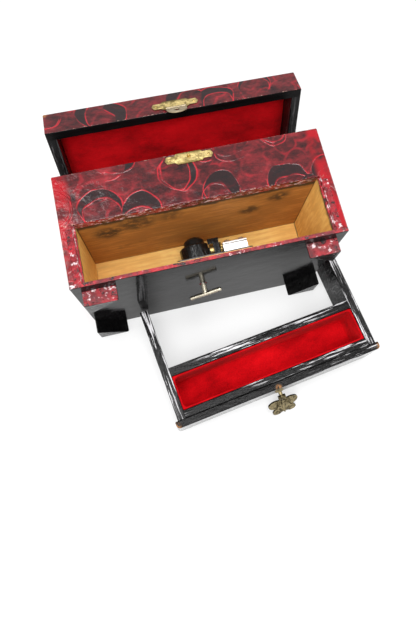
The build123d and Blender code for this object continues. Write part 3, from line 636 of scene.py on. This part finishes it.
# Feet.
# Four three-cornered blocks glued under the corners: the front pair is red and chipped
# on its front, the rear pair is all black.
foot_red = worn_lacquer("worn_foot", case_axes, 0.5)
black_foot = black_lacquer("black_foot", case_axes, 0.9 * MM, tint=0.003, shine=0.07)
under_seam = ((2, underside_z),)


def front_foot_rule(centre, normal):
    """Red on the front of a front foot, black on the rest."""
    return foot_red if normal.y < -0.6 else black_foot


def rear_foot_rule(centre, normal):
    """Black all over."""
    return black_foot


for node, name, rule, edge_width in (
    ("front_feet", "front_foot_blocks", front_foot_rule, 0.8 * MM),
    ("rear_feet", "rear_foot_blocks", rear_foot_rule, 1.2 * MM),
):
    worked_copy(node, name, "case", case_axes, rule, edge_width, under_seam)


# Compartment lining.
# Short-pile red velvet glued over thin card: a trough with soft corners and a rolled top edge
# fills the compartment under the lid.
def velvet(name, axes, colour):
    """Short pile, lighter and darker where it has been stroked."""
    finish = Finish(
        name, axes, Roughness=0.95, Specular_IOR_Level=0.08,
        Sheen_Weight=0.12, Sheen_Roughness=0.5, Sheen_Tint=(1.0, 0.12, 0.12, 1),
    )
    pile = finish.noise(0.8 * MM, 2.0, 0.8)
    stroked = finish.noise(20 * MM, 4.0, 0.62, stretch=(0.6, 1, 1))
    ground = finish.ramp(
        stroked * 0.75 + pile * 0.3,
        (0.34, tuple(c * 0.45 for c in colour)),
        (0.52, colour),
        (0.72, tuple(min(c * 1.4 + 0.002, 0.9) for c in colour)),
    )
    finish.set("Base Color", ground)
    finish.bump(pile + stroked * 0.5, 0.5 * MM)
    return finish.material


def rounded_ring(low, high, radius):
    """Points of a rectangle with round corners, anticlockwise from its right side."""
    steps = 6
    points = []
    corners = ((1, 1, 0), (-1, 1, 90), (-1, -1, 180), (1, -1, 270))
    for side_x, side_y, start in corners:
        centre_x = (high.x if side_x > 0 else low.x) - side_x * radius
        centre_y = (high.y if side_y > 0 else low.y) - side_y * radius
        for step in range(steps + 1):
            angle = radians(start + 90 * step / steps)
            points.append((centre_x + radius * cos(angle), centre_y + radius * sin(angle)))
    return points


def padded_piece(shape, node, name, body, material):
    """A closed padded piece, with its faces outwards, in place of a CAD node."""
    bmesh.ops.recalc_face_normals(shape, faces=shape.faces)
    mesh = bpy.data.meshes.new(name)
    shape.to_mesh(mesh)
    shape.free()
    mesh.shade_smooth()
    mesh.materials.append(material)
    piece = new_piece(name, mesh)
    stand_for(piece, node, body)
    return piece


def velvet_trough(node, name, body, axes, material, thickness, corner, roll):
    """A velvet trough with round corners, a rolled lip and a soft fold along its floor.

    Its layers go up outside, over the lip and down inside. Each is a share of the thickness
    inwards, a height and the radius of its corners.
    """
    low, high = span(node, axes)
    inset = Vector((thickness, thickness, 0))
    outer_corner = 0.8 * MM
    layers = (
        (0, low.z + 0.2 * MM, outer_corner),
        (0, high.z - roll, outer_corner),
        (0.3, high.z - roll * 0.25, outer_corner * 1.5),
        (0.7, high.z, outer_corner * 2.5),
        (1.1, high.z - roll * 0.3, corner),
        (1.25, high.z - roll * 1.2, corner),
        (1.1, (low.z + high.z) / 2, corner),
        (1.15, low.z + thickness * 2.6, corner),
        (1.7, low.z + thickness * 1.4, corner),
        (2.9, low.z + thickness * 1.05, corner),
        (5, low.z + thickness, corner * 0.8),
    )
    shape = bmesh.new()
    rings = []
    for inwards, z, radius in layers:
        outline = rounded_ring(low + inset * inwards, high - inset * inwards, radius)
        rings.append([shape.verts.new(axes @ Vector((x, y, z))) for x, y in outline])
    for first, second in zip(rings, rings[1:]):
        count = len(first)
        for i in range(count):
            j = (i + 1) % count
            shape.faces.new((first[i], first[j], second[j], second[i]))
    shape.faces.new(rings[-1])
    shape.faces.new(list(reversed(rings[0])))
    padded_piece(shape, node, name, body, material)


velvet_red = (0.52, 0.0015, 0.005)
compartment_velvet = velvet("velvet_compartment", case_axes, velvet_red)
velvet_trough(
    "compartment_lining", "compartment_velvet", "case", case_axes, compartment_velvet,
    thickness=2 * MM, corner=3 * MM, roll=1.2 * MM,
)

# Lid.
# Four rails under a thin top panel: marbled outside, black inside and on its rim. It is
# swung open from the case by its hinge's range below rest.
lid_open = -radians(joints["lid_hinge"]["range_deg"][0])
lid_axes = case_axes @ Matrix.Rotation(-lid_open, 3, "X")
rail_low, rail_high = span("lid_front_rail", lid_axes)
top_low, top_high = span("lid_top_panel", lid_axes)
rail_depth = rail_high.y - rail_low.y
lid_corner = Vector((top_low.x, top_low.y, top_high.z))
lid_edges = (("Z", rail_low.z), ("Z", top_high.z), ("X", top_low.x), ("X", top_high.x))
top_edge = (("Y", top_low.y),)
marble_top = marbled(
    "marbled_top", lid_axes, "X", "Y", edges=top_edge, corner=lid_corner, glow=0.8
)
marble_lid = marbled(
    "marbled_lid_front", lid_axes, "X", "Z", edges=lid_edges, corner=lid_corner, glow=0.9
)
marble_lid_side = marbled("marbled_lid_side", lid_axes, "Y", "Z")
black_lid = black_lacquer(
    "black_lid_rim", lid_axes, 0.5 * MM, streak=(0.2, 1, 1), tint=0.004, gloss=0.1, shine=0.06
)
# Faint painted highlights on its brush ridges.
black_lid_side = black_lacquer(
    "black_lid_side_rim", lid_axes, 0.6 * MM, streak=(1, 0.2, 1), gloss=0.12, shine=0.1, ridge_highlights=0.07
)
side_rail_share = 0.45
outer_reach = 2 * MM
lid_edge_width = 0.7 * MM


def lid_rule(centre, normal):
    """Which finish a face of the lid's rails and top has."""
    if normal.z > 0.6:
        return marble_top
    if normal.z < -0.6:
        beside = abs(centre.x - middle_x) > (right_x - left_x) * side_rail_share
        return black_lid_side if beside else black_lid
    if abs(normal.x) > 0.7:
        return marble_lid_side if normal.x * (centre.x - middle_x) > 0 else black_lid_side
    from_outside = centre.y - rail_low.y if normal.y < 0 else top_high.y - centre.y
    return marble_lid if from_outside < outer_reach else black_lid


lid_seams = ((2, rail_high.z), (1, rail_high.y), (1, top_high.y - rail_depth))
for node, name in (
    ("lid_front_rail", "lid_front_board"),
    ("lid_back_rail", "lid_back_board"),
    ("lid_side_rails", "lid_side_boards"),
    ("lid_top_panel", "lid_top_board"),
):
    worked_copy(node, name, "lid", lid_axes, lid_rule, lid_edge_width, lid_seams)


# Lid pad.
# A thin padded card covered with velvet fills the lid inside its rails. It is drawn down at
# its edges and a little uneven between them.
def velvet_pad(node, name, body, axes, material):
    """A pad whose lower face is drawn in at its edges and sways, closed by a flat back."""
    columns = 60
    rows = 40
    drawn_in = 2.2 * MM
    edge_reach = 6 * MM
    back_gap = 0.2 * MM
    sway_height = 0.18 * MM
    sway_across = 23
    sway_slant = 7
    sway_along = 17
    sway_start = 1.3
    low, high = span(node, axes)
    shape = bmesh.new()
    grid = []
    for j in range(rows + 1):
        line = []
        for i in range(columns + 1):
            u = i / columns
            v = j / rows
            x = low.x + (high.x - low.x) * u
            y = low.y + (high.y - low.y) * v
            edge = min(x - low.x, high.x - x, y - low.y, high.y - y)
            fall = max(0.0, 1 - edge / edge_reach) ** 2
            swing = sin(u * sway_across + v * sway_slant) * sin(v * sway_along + sway_start)
            z = low.z + drawn_in * fall + sway_height * (1 + swing)
            line.append(shape.verts.new(axes @ Vector((x, y, z))))
        grid.append(line)
    for j in range(rows):
        for i in range(columns):
            shape.faces.new((grid[j][i], grid[j + 1][i], grid[j + 1][i + 1], grid[j][i + 1]))
    rim = grid[0][:-1] + [line[-1] for line in grid[:-1]]
    rim += grid[-1][:0:-1] + [line[0] for line in grid[:0:-1]]
    back = []
    for vert in rim:
        point = axes.transposed() @ vert.co
        back.append(shape.verts.new(axes @ Vector((point.x, point.y, high.z - back_gap))))
    for i in range(len(rim)):
        shape.faces.new((rim[i - 1], rim[i], back[i], back[i - 1]))
    shape.faces.new(back)
    piece = padded_piece(shape, node, name, body, material)
    piece.data.set_sharp_from_angle(angle=radians(60))


lid_red = (0.56, 0.002, 0.006)
velvet_pad("lid_lining", "lid_velvet", "lid", lid_axes, velvet("velvet_lid", lid_axes, lid_red))

# Hinges and clasp.
# Stamped sheet brass, polished once and now a little worn and dark in blotches, with painted
# shade along the plates' edges and over the whole catch plate. The hasp swings from its pin over
# a stud on the catch plate.
# Brown patina, also used as painted shade along the clasp plates' edges.
brown_patina_and_shade = (0.1, 0.07, 0.02)


def metal(
    name, axes, colour, rough, patina_and_shade=brown_patina_and_shade, amount=0.5, grain=4 * MM, depth=0.2 * MM, plate=None
):
    """Worn metal that has darkened in blotches as large as its grain.

    patina_and_shade is the dark colour, amount how much of it there is and depth how deep the dents
    are. A plate, given as its CAD node, takes that colour along its edges as painted shade.
    """
    finish = Finish(name, axes, Metallic=1.0)
    tarnish = finish.noise(grain, 4.0, 0.65)
    scratch = finish.noise(1.2 * MM, 3.0, 0.7, stretch=(0.2, 1, 1))
    ground = finish.mix(tarnish.between(0.43, 0.66) * amount, colour, patina_and_shade)
    # Painted shade: a plate darkens towards its edges and ends, where its domed face would turn from the
    # light.
    if plate:
        low, high = span(plate, axes)
        middle = (low + high) / 2
        from_middle = abs(finish.axis("Z") - middle.z)
        half = high.z - middle.z
        ground = finish.mix(from_middle.between(half * 0.5, half * 0.95) * 0.85, ground, patina_and_shade)
        from_end = abs(finish.axis("X") - middle.x)
        reach = high.x - middle.x
        ground = finish.mix(from_end.between(reach * 0.8, reach) * 0.6, ground, patina_and_shade)
    finish.set("Base Color", ground)
    finish.set("Roughness", scratch * 0.25 + tarnish * 0.25 + rough - 0.25)
    finish.bump(tarnish + scratch * 0.3, depth)
    return finish.material


brass_colour = (0.72, 0.56, 0.24)
# Painted shade: the catch plate's brass is a darker copy of the hasp plate's.
shaded_catch_colour = tuple(c * 0.66 for c in brass_colour)
stamped = {"rough": 0.4, "amount": 0.72, "grain": 4.2 * MM, "depth": 1.1 * MM}
clasp_brass = metal("clasp_brass", case_axes, shaded_catch_colour, plate="catch_plate", **stamped)
lid_brass = metal("lid_brass", lid_axes, brass_colour, plate="hasp_plate", **stamped)
hinge_brass = metal("hinge_brass", case_axes, brass_colour, 0.4, amount=0.8, grain=5 * MM)
dark_brass = metal("dark_brass", case_axes, (0.15, 0.105, 0.045), 0.36)
rivet_brass = metal("rivet_brass", case_axes, (0.46, 0.33, 0.12), 0.3)
hasp_brass = metal("hasp_brass", lid_axes, (0.44, 0.36, 0.24), 0.42)


def softened(node, body, axes, material, edge_width, rim=None):
    """A CAD piece of sheet metal with its edges eased, and painted shade on its edge faces if it has a rim
    finish.
    """

    def rule(centre, normal):
        return rim if rim and abs(normal.y) < 0.9 else material

    worked_copy(node, f"{node}_finished", body, axes, rule, edge_width, segments=2)


# The clasp plates' edge faces take dark brass as painted shade.
softened("catch_plate", "case", case_axes, clasp_brass, 0.4 * MM, dark_brass)
softened("hasp_plate", "lid", lid_axes, lid_brass, 0.3 * MM, dark_brass)
softened("hasp_tongue", "hasp", lid_axes, hasp_brass, 0.25 * MM)
repaint("hasp_pin", dark_brass)
repaint("catch_stud", rivet_brass)
for node in ("hinge_case_leaves", "hinge_pins", "hinge_lid_leaves"):
    repaint(node, hinge_brass)


# Screw and rivet heads.
# Small round heads hold the hinges, clasp, bedplate and comb. Each group is one Geometry
# Nodes tree that sets a turned head on every place where the CAD node has one.
def head_places(node, outward):
    """The middle of each head's base, and the last head's radius and height: they are alike."""
    base_reach = 0.01 * MM
    shape = welded(node)
    waiting = dict.fromkeys(shape.verts)
    places = []
    while waiting:
        head = [waiting.popitem()[0]]
        # The list grows while it is walked, until it holds the whole head.
        for vert in head:
            for edge in vert.link_edges:
                other = edge.other_vert(vert)
                if other in waiting:
                    del waiting[other]
                    head.append(other)
        heights = [v.co.dot(outward) for v in head]
        base = [v.co.copy() for v in head if v.co.dot(outward) < min(heights) + base_reach]
        centre = sum(base, Vector()) / len(base)
        radius = max((c - centre).length for c in base)
        places.append(centre)
        height = max(heights) - min(heights)
    shape.free()
    places.sort(key=lambda p: (round(p.x, 5), round(p.y, 5), round(p.z, 5)))
    return places, radius, height


def turned_heads(node, name, body, outward, material, slotted):
    """Domed heads, slotted for a screw, set square to a surface by a Geometry Nodes tree.

    A head is cut from a ball of radius 1 and then given its own radius and height.
    """
    slot_size = (2.4, 0.3, 0.9)
    slot_up = 1.1 if slotted else 3.0
    places, radius, height = head_places(node, outward)
    cloud = bpy.data.meshes.new(name + "_places")
    cloud.from_pydata([tuple(p) for p in places], [], [])
    piece = new_piece(name, cloud)
    tree = bpy.data.node_groups.new(name + "_tree", "GeometryNodeTree")
    sockets = tree.interface
    sockets.new_socket("Geometry", in_out="INPUT", socket_type="NodeSocketGeometry")
    radius_input = sockets.new_socket("Head radius", in_out="INPUT", socket_type="NodeSocketFloat")
    height_input = sockets.new_socket("Head height", in_out="INPUT", socket_type="NodeSocketFloat")
    sockets.new_socket("Geometry", in_out="OUTPUT", socket_type="NodeSocketGeometry")

    def add(kind, settings=None, **values):
        made = tree.nodes.new(kind)
        for key, value in (settings or {}).items():
            setattr(made, key, value)
        for key, value in values.items():
            made.inputs[key.replace("_", " ")].default_value = value
        return made

    source = add("NodeGroupInput")
    ball = add("GeometryNodeMeshUVSphere", Segments=24, Rings=12, Radius=1.0)
    slot = add("GeometryNodeMeshCube", Size=slot_size)
    slot_place = add("GeometryNodeTransform", Translation=(0, 0, slot_up))
    below = add("GeometryNodeMeshCube", Size=(4, 4, 2))
    below_place = add("GeometryNodeTransform", Translation=(0, 0, -1.0))
    cut = add("GeometryNodeMeshBoolean", {"operation": "DIFFERENCE"})
    sized = add("GeometryNodeTransform")
    scale = add("ShaderNodeCombineXYZ")
    turn = add("FunctionNodeAlignRotationToVector", {"axis": "Z"}, Vector=outward)
    spread = add("GeometryNodeInstanceOnPoints")
    real = add("GeometryNodeRealizeInstances")
    paint = add("GeometryNodeSetMaterial", Material=material)
    result = add("NodeGroupOutput")
    for first, out, second, into in (
        (slot, "Mesh", slot_place, "Geometry"),
        (below, "Mesh", below_place, "Geometry"),
        (ball, "Mesh", cut, 0),
        (slot_place, "Geometry", cut, 1),
        (below_place, "Geometry", cut, 1),
        (cut, "Mesh", sized, "Geometry"),
        (source, "Head radius", scale, 0),
        (source, "Head radius", scale, 1),
        (source, "Head height", scale, 2),
        (scale, 0, sized, "Scale"),
        (source, "Geometry", spread, "Points"),
        (sized, "Geometry", spread, "Instance"),
        (turn, 0, spread, "Rotation"),
        (spread, "Instances", real, "Geometry"),
        (real, "Geometry", paint, "Geometry"),
        (paint, "Geometry", result, "Geometry"),
    ):
        tree.links.new(first.outputs[out], second.inputs[into])
    modifier = piece.modifiers.new("heads", "NODES")
    modifier.node_group = tree
    modifier[radius_input.identifier] = radius
    modifier[height_input.identifier] = height
    apply_modifier(piece, modifier)
    piece.data.shade_smooth()
    piece.data.set_sharp_from_angle(angle=radians(40))
    stand_for(piece, node, body)


case_back_way = case_axes.col[1].copy()
case_up_way = case_axes.col[2].copy()
lid_back_way = lid_axes.col[1].copy()
turned_heads("hinge_case_screws", "case_hinge_screws", "case", case_back_way, hinge_brass, True)
turned_heads("hinge_lid_screws", "lid_hinge_screws", "lid", lid_back_way, hinge_brass, True)
turned_heads("catch_rivets", "catch_plate_rivets", "case", -case_back_way, rivet_brass, False)
turned_heads("hasp_rivets", "hasp_plate_rivets", "lid", -lid_back_way, rivet_brass, False)

# Musical movement.
# A plated bedplate carries the black spring housing, the pinned brass cylinder with its gear,
# the comb, and the governor in its bright housing.
bright_plate = metal("bright_plate", case_axes, (0.82, 0.82, 0.8), 0.33, (0.4, 0.4, 0.38))
movement_brass = metal("movement_brass", case_axes, (0.42, 0.3, 0.12), 0.36)
dull_plate = metal(
    "dull_plate", case_axes, (0.11, 0.105, 0.1), 0.45, patina_and_shade=(0.03, 0.03, 0.028), amount=0.85
)


def governor_plate():
    """Bright plate with smudges, and painted shade in a groove near its top."""
    plate_white = (0.9, 0.9, 0.88)
    smudge_grey = (0.5, 0.48, 0.44)
    groove_shadow = (0.03, 0.03, 0.03)
    groove_z = span("governor_housing", case_axes)[1].z - 2.2 * MM
    finish = Finish("governor_plate", case_axes, Metallic=0.85)
    groove = abs(finish.axis("Z") - groove_z).between(0.45 * MM, 0.2 * MM)
    smudge = finish.noise(4 * MM, 4.0)
    ground = finish.mix(smudge.between(0.45, 0.7) * 0.3, plate_white, smudge_grey)
    # Painted shade: the groove's line is painted near-black.
    finish.set("Base Color", finish.mix(groove * 0.9, ground, groove_shadow))
    finish.set("Roughness", smudge * 0.3 + 0.25)
    finish.bump(smudge - groove, 0.2 * MM)
    return finish.material


def black_enamel():
    """Glossy black paint that has run a little down the housing."""
    finish = Finish("black_enamel", case_axes, Specular_IOR_Level=0.3)
    sag = finish.noise(4 * MM, 3.0)
    ground = finish.ramp(sag, (0.3, (0.003, 0.003, 0.003)), (0.7, (0.009, 0.009, 0.009)))
    finish.set("Base Color", ground)
    finish.set("Roughness", sag * 0.2 + 0.02)
    finish.bump(finish.noise(3 * MM, 3.0, stretch=(1, 1, 0.1)), 1.1 * MM)
    return finish.material


enamel = black_enamel()
softened("bedplate", "case", case_axes, dull_plate, 0.3 * MM)
softened("governor_housing", "case", case_axes, governor_plate(), 0.3 * MM)
softened("housing_bracket", "case", case_axes, enamel, 0.2 * MM)
for node in ("comb", "comb_riser", "governor_caps", "winding_arbor"):
    repaint(node, bright_plate)
for node in ("spring_housing", "housing_cap", "cylinder_bracket"):
    repaint(node, enamel)
for node in ("cylinder", "cylinder_gear", "governor_pinion"):
    repaint(node, movement_brass)
turned_heads("bedplate_screws", "bedplate_screw_heads", "case", case_up_way, bright_plate, True)
turned_heads("comb_screws", "comb_screw_heads", "case", case_up_way, bright_plate, True)

# Winding key.
# A T-shaped key of aged brass, on the arbor that comes out of the underside.
antique = metal(
    "antique_brass", case_axes, (0.58, 0.53, 0.42), 0.34,
    patina_and_shade=(0.06, 0.052, 0.035), amount=0.6, grain=8 * MM, depth=0.3 * MM,
)
repaint("winding_key", antique)

# Drawer.
# A board, two long arms and a narrow tray behind the board, all in thick black lacquer
# that is streaked along each piece, with painted highlights on its brush ridges, and rubbed
# to bare wood at the board's ends.
rail_edge_width = 0.8 * MM
drawer_back = -Vector(joints["drawer_slide"]["axis"]).normalized()
drawer_up = Vector((0, 0, 1))
drawer_axes = Matrix((drawer_back.cross(drawer_up), drawer_back, drawer_up)).transposed()
arm_low = span("drawer_arm_left", drawer_axes)[0]
far_arm_low = span("drawer_arm_right", drawer_axes)[0]
tray_low, tray_high = span("tray_bottom", drawer_axes)
front_low, front_high = span("drawer_front", drawer_axes)
front_middle_x = (front_low.x + front_high.x) / 2
bare_spots = (
    (Vector((front_low.x, front_low.y + 1.5 * MM, front_high.z)), 4.8 * MM),
    (Vector((front_high.x, front_low.y + 1.5 * MM, front_high.z)), 4.8 * MM),
    (Vector((front_middle_x - 3 * MM, front_low.y + 1 * MM, front_high.z)), 3.5 * MM),
)
brushed_thick = {"tint": 0.004, "gloss": 0.09, "shine": 0.15}
# Strong painted highlights along the rails' brush ridges.
streaks_along_x = black_lacquer(
    "black_drawer_x", drawer_axes, 1.4 * MM, streak=(0.22, 1, 1), ridge_highlights=0.95, corners=bare_spots,
    **brushed_thick,
)
streaks_along_y = black_lacquer(
    "black_drawer_y", drawer_axes, 1.1 * MM, streak=(1, 0.22, 1), ridge_highlights=0.85, **brushed_thick
)
smooth_board = black_lacquer(
    "black_board_face", drawer_axes, 0.3 * MM, streak=(0.25, 1, 1), tint=0.012, shine=0.4,
    corners=bare_spots,
)
# Faint painted highlights on its brush ridges.
dark_faces = black_lacquer(
    "black_drawer_faces", drawer_axes, 0.4 * MM, streak=(0.5, 1, 0.5), gloss=0.09, shine=0.06,
    ridge_highlights=0.12,
)


def drawer_rule(streaked):
    """Streaks with painted highlights on a rail's top, dark lacquer on its faces, a mirror gloss on the
    board's front.
    """

    def rule(centre, normal):
        if normal.z > 0.5:
            return streaked
        on_front = centre.y < front_high.y - 0.1 * MM
        return smooth_board if on_front else dark_faces

    return rule


tray_seams = ((0, tray_low.x), (0, tray_high.x))
for node, name, streaked, seams in (
    ("drawer_front", "drawer_board", streaks_along_x, ()),
    ("drawer_arm_left", "left_arm", streaks_along_y, ((1, arm_low.y),)),
    ("drawer_arm_right", "right_arm", streaks_along_y, ((1, far_arm_low.y),)),
    ("tray_bottom", "tray_floor", smooth_board, tray_seams),
    ("tray_front_rail", "tray_near_rail", streaks_along_x, tray_seams),
    ("tray_back_rail", "tray_far_rail", streaks_along_x, tray_seams),
):
    worked_copy(node, name, "drawer", drawer_axes, drawer_rule(streaked), rail_edge_width, seams)

# Tray lining.
# The same velvet lines the tray, wrapped over a thinner card.
tray_velvet = velvet("velvet_tray", drawer_axes, velvet_red)
velvet_trough(
    "tray_lining", "tray_velvet", "drawer", drawer_axes, tray_velvet,
    thickness=1.2 * MM, corner=3.5 * MM, roll=0.8 * MM,
)

# Pull.
# A cast brass butterfly hangs from an eye on a round rosette, dull, with painted shade on the faces of its
# flutes and edges.
pull_brass = metal(
    "pull_brass", drawer_axes, (0.27, 0.22, 0.12), 0.38,
    patina_and_shade=(0.03, 0.025, 0.012), amount=0.9, grain=2.2 * MM, depth=0.6 * MM,
)
# Painted shade: a darker copy of the pull's brass for faces that turn from the wings' plane.
pull_shaded = metal(
    "pull_shaded", drawer_axes, (0.075, 0.06, 0.03), 0.45,
    patina_and_shade=(0.02, 0.016, 0.008), amount=0.8, grain=2.2 * MM,
)
butterfly_faces = frame["nodes"]["butterfly_pull"].data.polygons
wing_way = drawer_axes.transposed() @ max(butterfly_faces, key=lambda face: face.area).normal


def butterfly_rule(centre, normal):
    """Bright where the wings are flat; faces that turn from the wings' plane, in the flutes and round the
    edges, get painted shade.
    """
    return pull_brass if abs(normal.dot(wing_way)) > 0.95 else pull_shaded


repaint("pull_rosette", pull_brass)
worked_copy(
    "butterfly_pull", "fluted_butterfly", "pull", drawer_axes, butterfly_rule, 0.08 * MM, segments=1
)

# Table and light.
# A white table, paler to the camera than it is lit, keeps a soft shadow under broad lamps. The
# room shows white to the camera and in reflections, and lights the box at a plain level.
table_reach = 3.0
table_z = -0.2 * MM
white_share = 0.5
room_level = 0.5
table_mesh = bpy.data.meshes.new("table")
ways = ((-1, -1), (1, -1), (1, 1), (-1, 1))
table_corners = [(x * table_reach, y * table_reach, table_z) for x, y in ways]
table_mesh.from_pydata(table_corners, [], [(0, 1, 2, 3)])
table = new_piece("table", table_mesh)
paper = Finish("table_white", case_axes, Roughness=0.9, Base_Color=(0.93, 0.93, 0.93, 1))
lit = Field(paper, paper.surface.outputs[0])
white = paper.node("ShaderNodeEmission")
seen_share = paper.node("ShaderNodeLightPath") * white_share
both = paper.node("ShaderNodeMixShader", None, {0: seen_share, 1: lit, 2: white})
paper.tree.links.new(both.socket, paper.tree.nodes["Material Output"].inputs["Surface"])
table_mesh.materials.append(paper.material)

world = bpy.data.worlds.new("studio")
bpy.context.scene.world = world
world.use_nodes = True
sky = world.node_tree.nodes["Background"]
sky.inputs["Color"].default_value = (1, 1, 1, 1)
rays = world.node_tree.nodes.new("ShaderNodeLightPath")
link = world.node_tree.links.new
seen = rays.outputs["Is Camera Ray"]
for other in ("Is Glossy Ray", "Is Transmission Ray"):
    either = world.node_tree.nodes.new("ShaderNodeMath")
    either.operation = "MAXIMUM"
    link(seen, either.inputs[0])
    link(rays.outputs[other], either.inputs[1])
    seen = either.outputs[0]
level = world.node_tree.nodes.new("ShaderNodeMapRange")
level.inputs["To Min"].default_value = room_level
level.inputs["To Max"].default_value = 1.0
link(seen, level.inputs["Value"])
link(level.outputs["Result"], sky.inputs["Strength"])


def soft_lamp(name, place, target, size, power):
    """A square lamp at a place, turned to face its target."""
    lamp_data = bpy.data.lights.new(name, "AREA")
    lamp_data.size = size
    lamp_data.energy = power
    lamp = bpy.data.objects.new(name, lamp_data)
    bpy.context.scene.collection.objects.link(lamp)
    lamp.location = place
    direction = Vector(target) - Vector(place)
    lamp.rotation_euler = direction.to_track_quat("-Z", "Y").to_euler()


soft_lamp("key_lamp", (-0.22, -0.42, 1.05), (0, 0, 0.05), 0.5, 6.0)
soft_lamp("top_lamp", (0.03, -0.02, 1.15), (0, 0, 0.05), 0.35, 5.0)
soft_lamp("back_lamp", (-0.26, 0.27, 0.98), (-0.1, 0.02, 0.14), 0.1, 0.5)
soft_lamp("left_lamp", (-0.9, -0.2, 0.6), (0, 0, 0.05), 0.5, 3.0)
soft_lamp("right_lamp", (0.9, 0.1, 0.8), (0, 0, 0.08), 0.6, 3.0)

bpy.context.scene.view_settings.view_transform = "Standard"
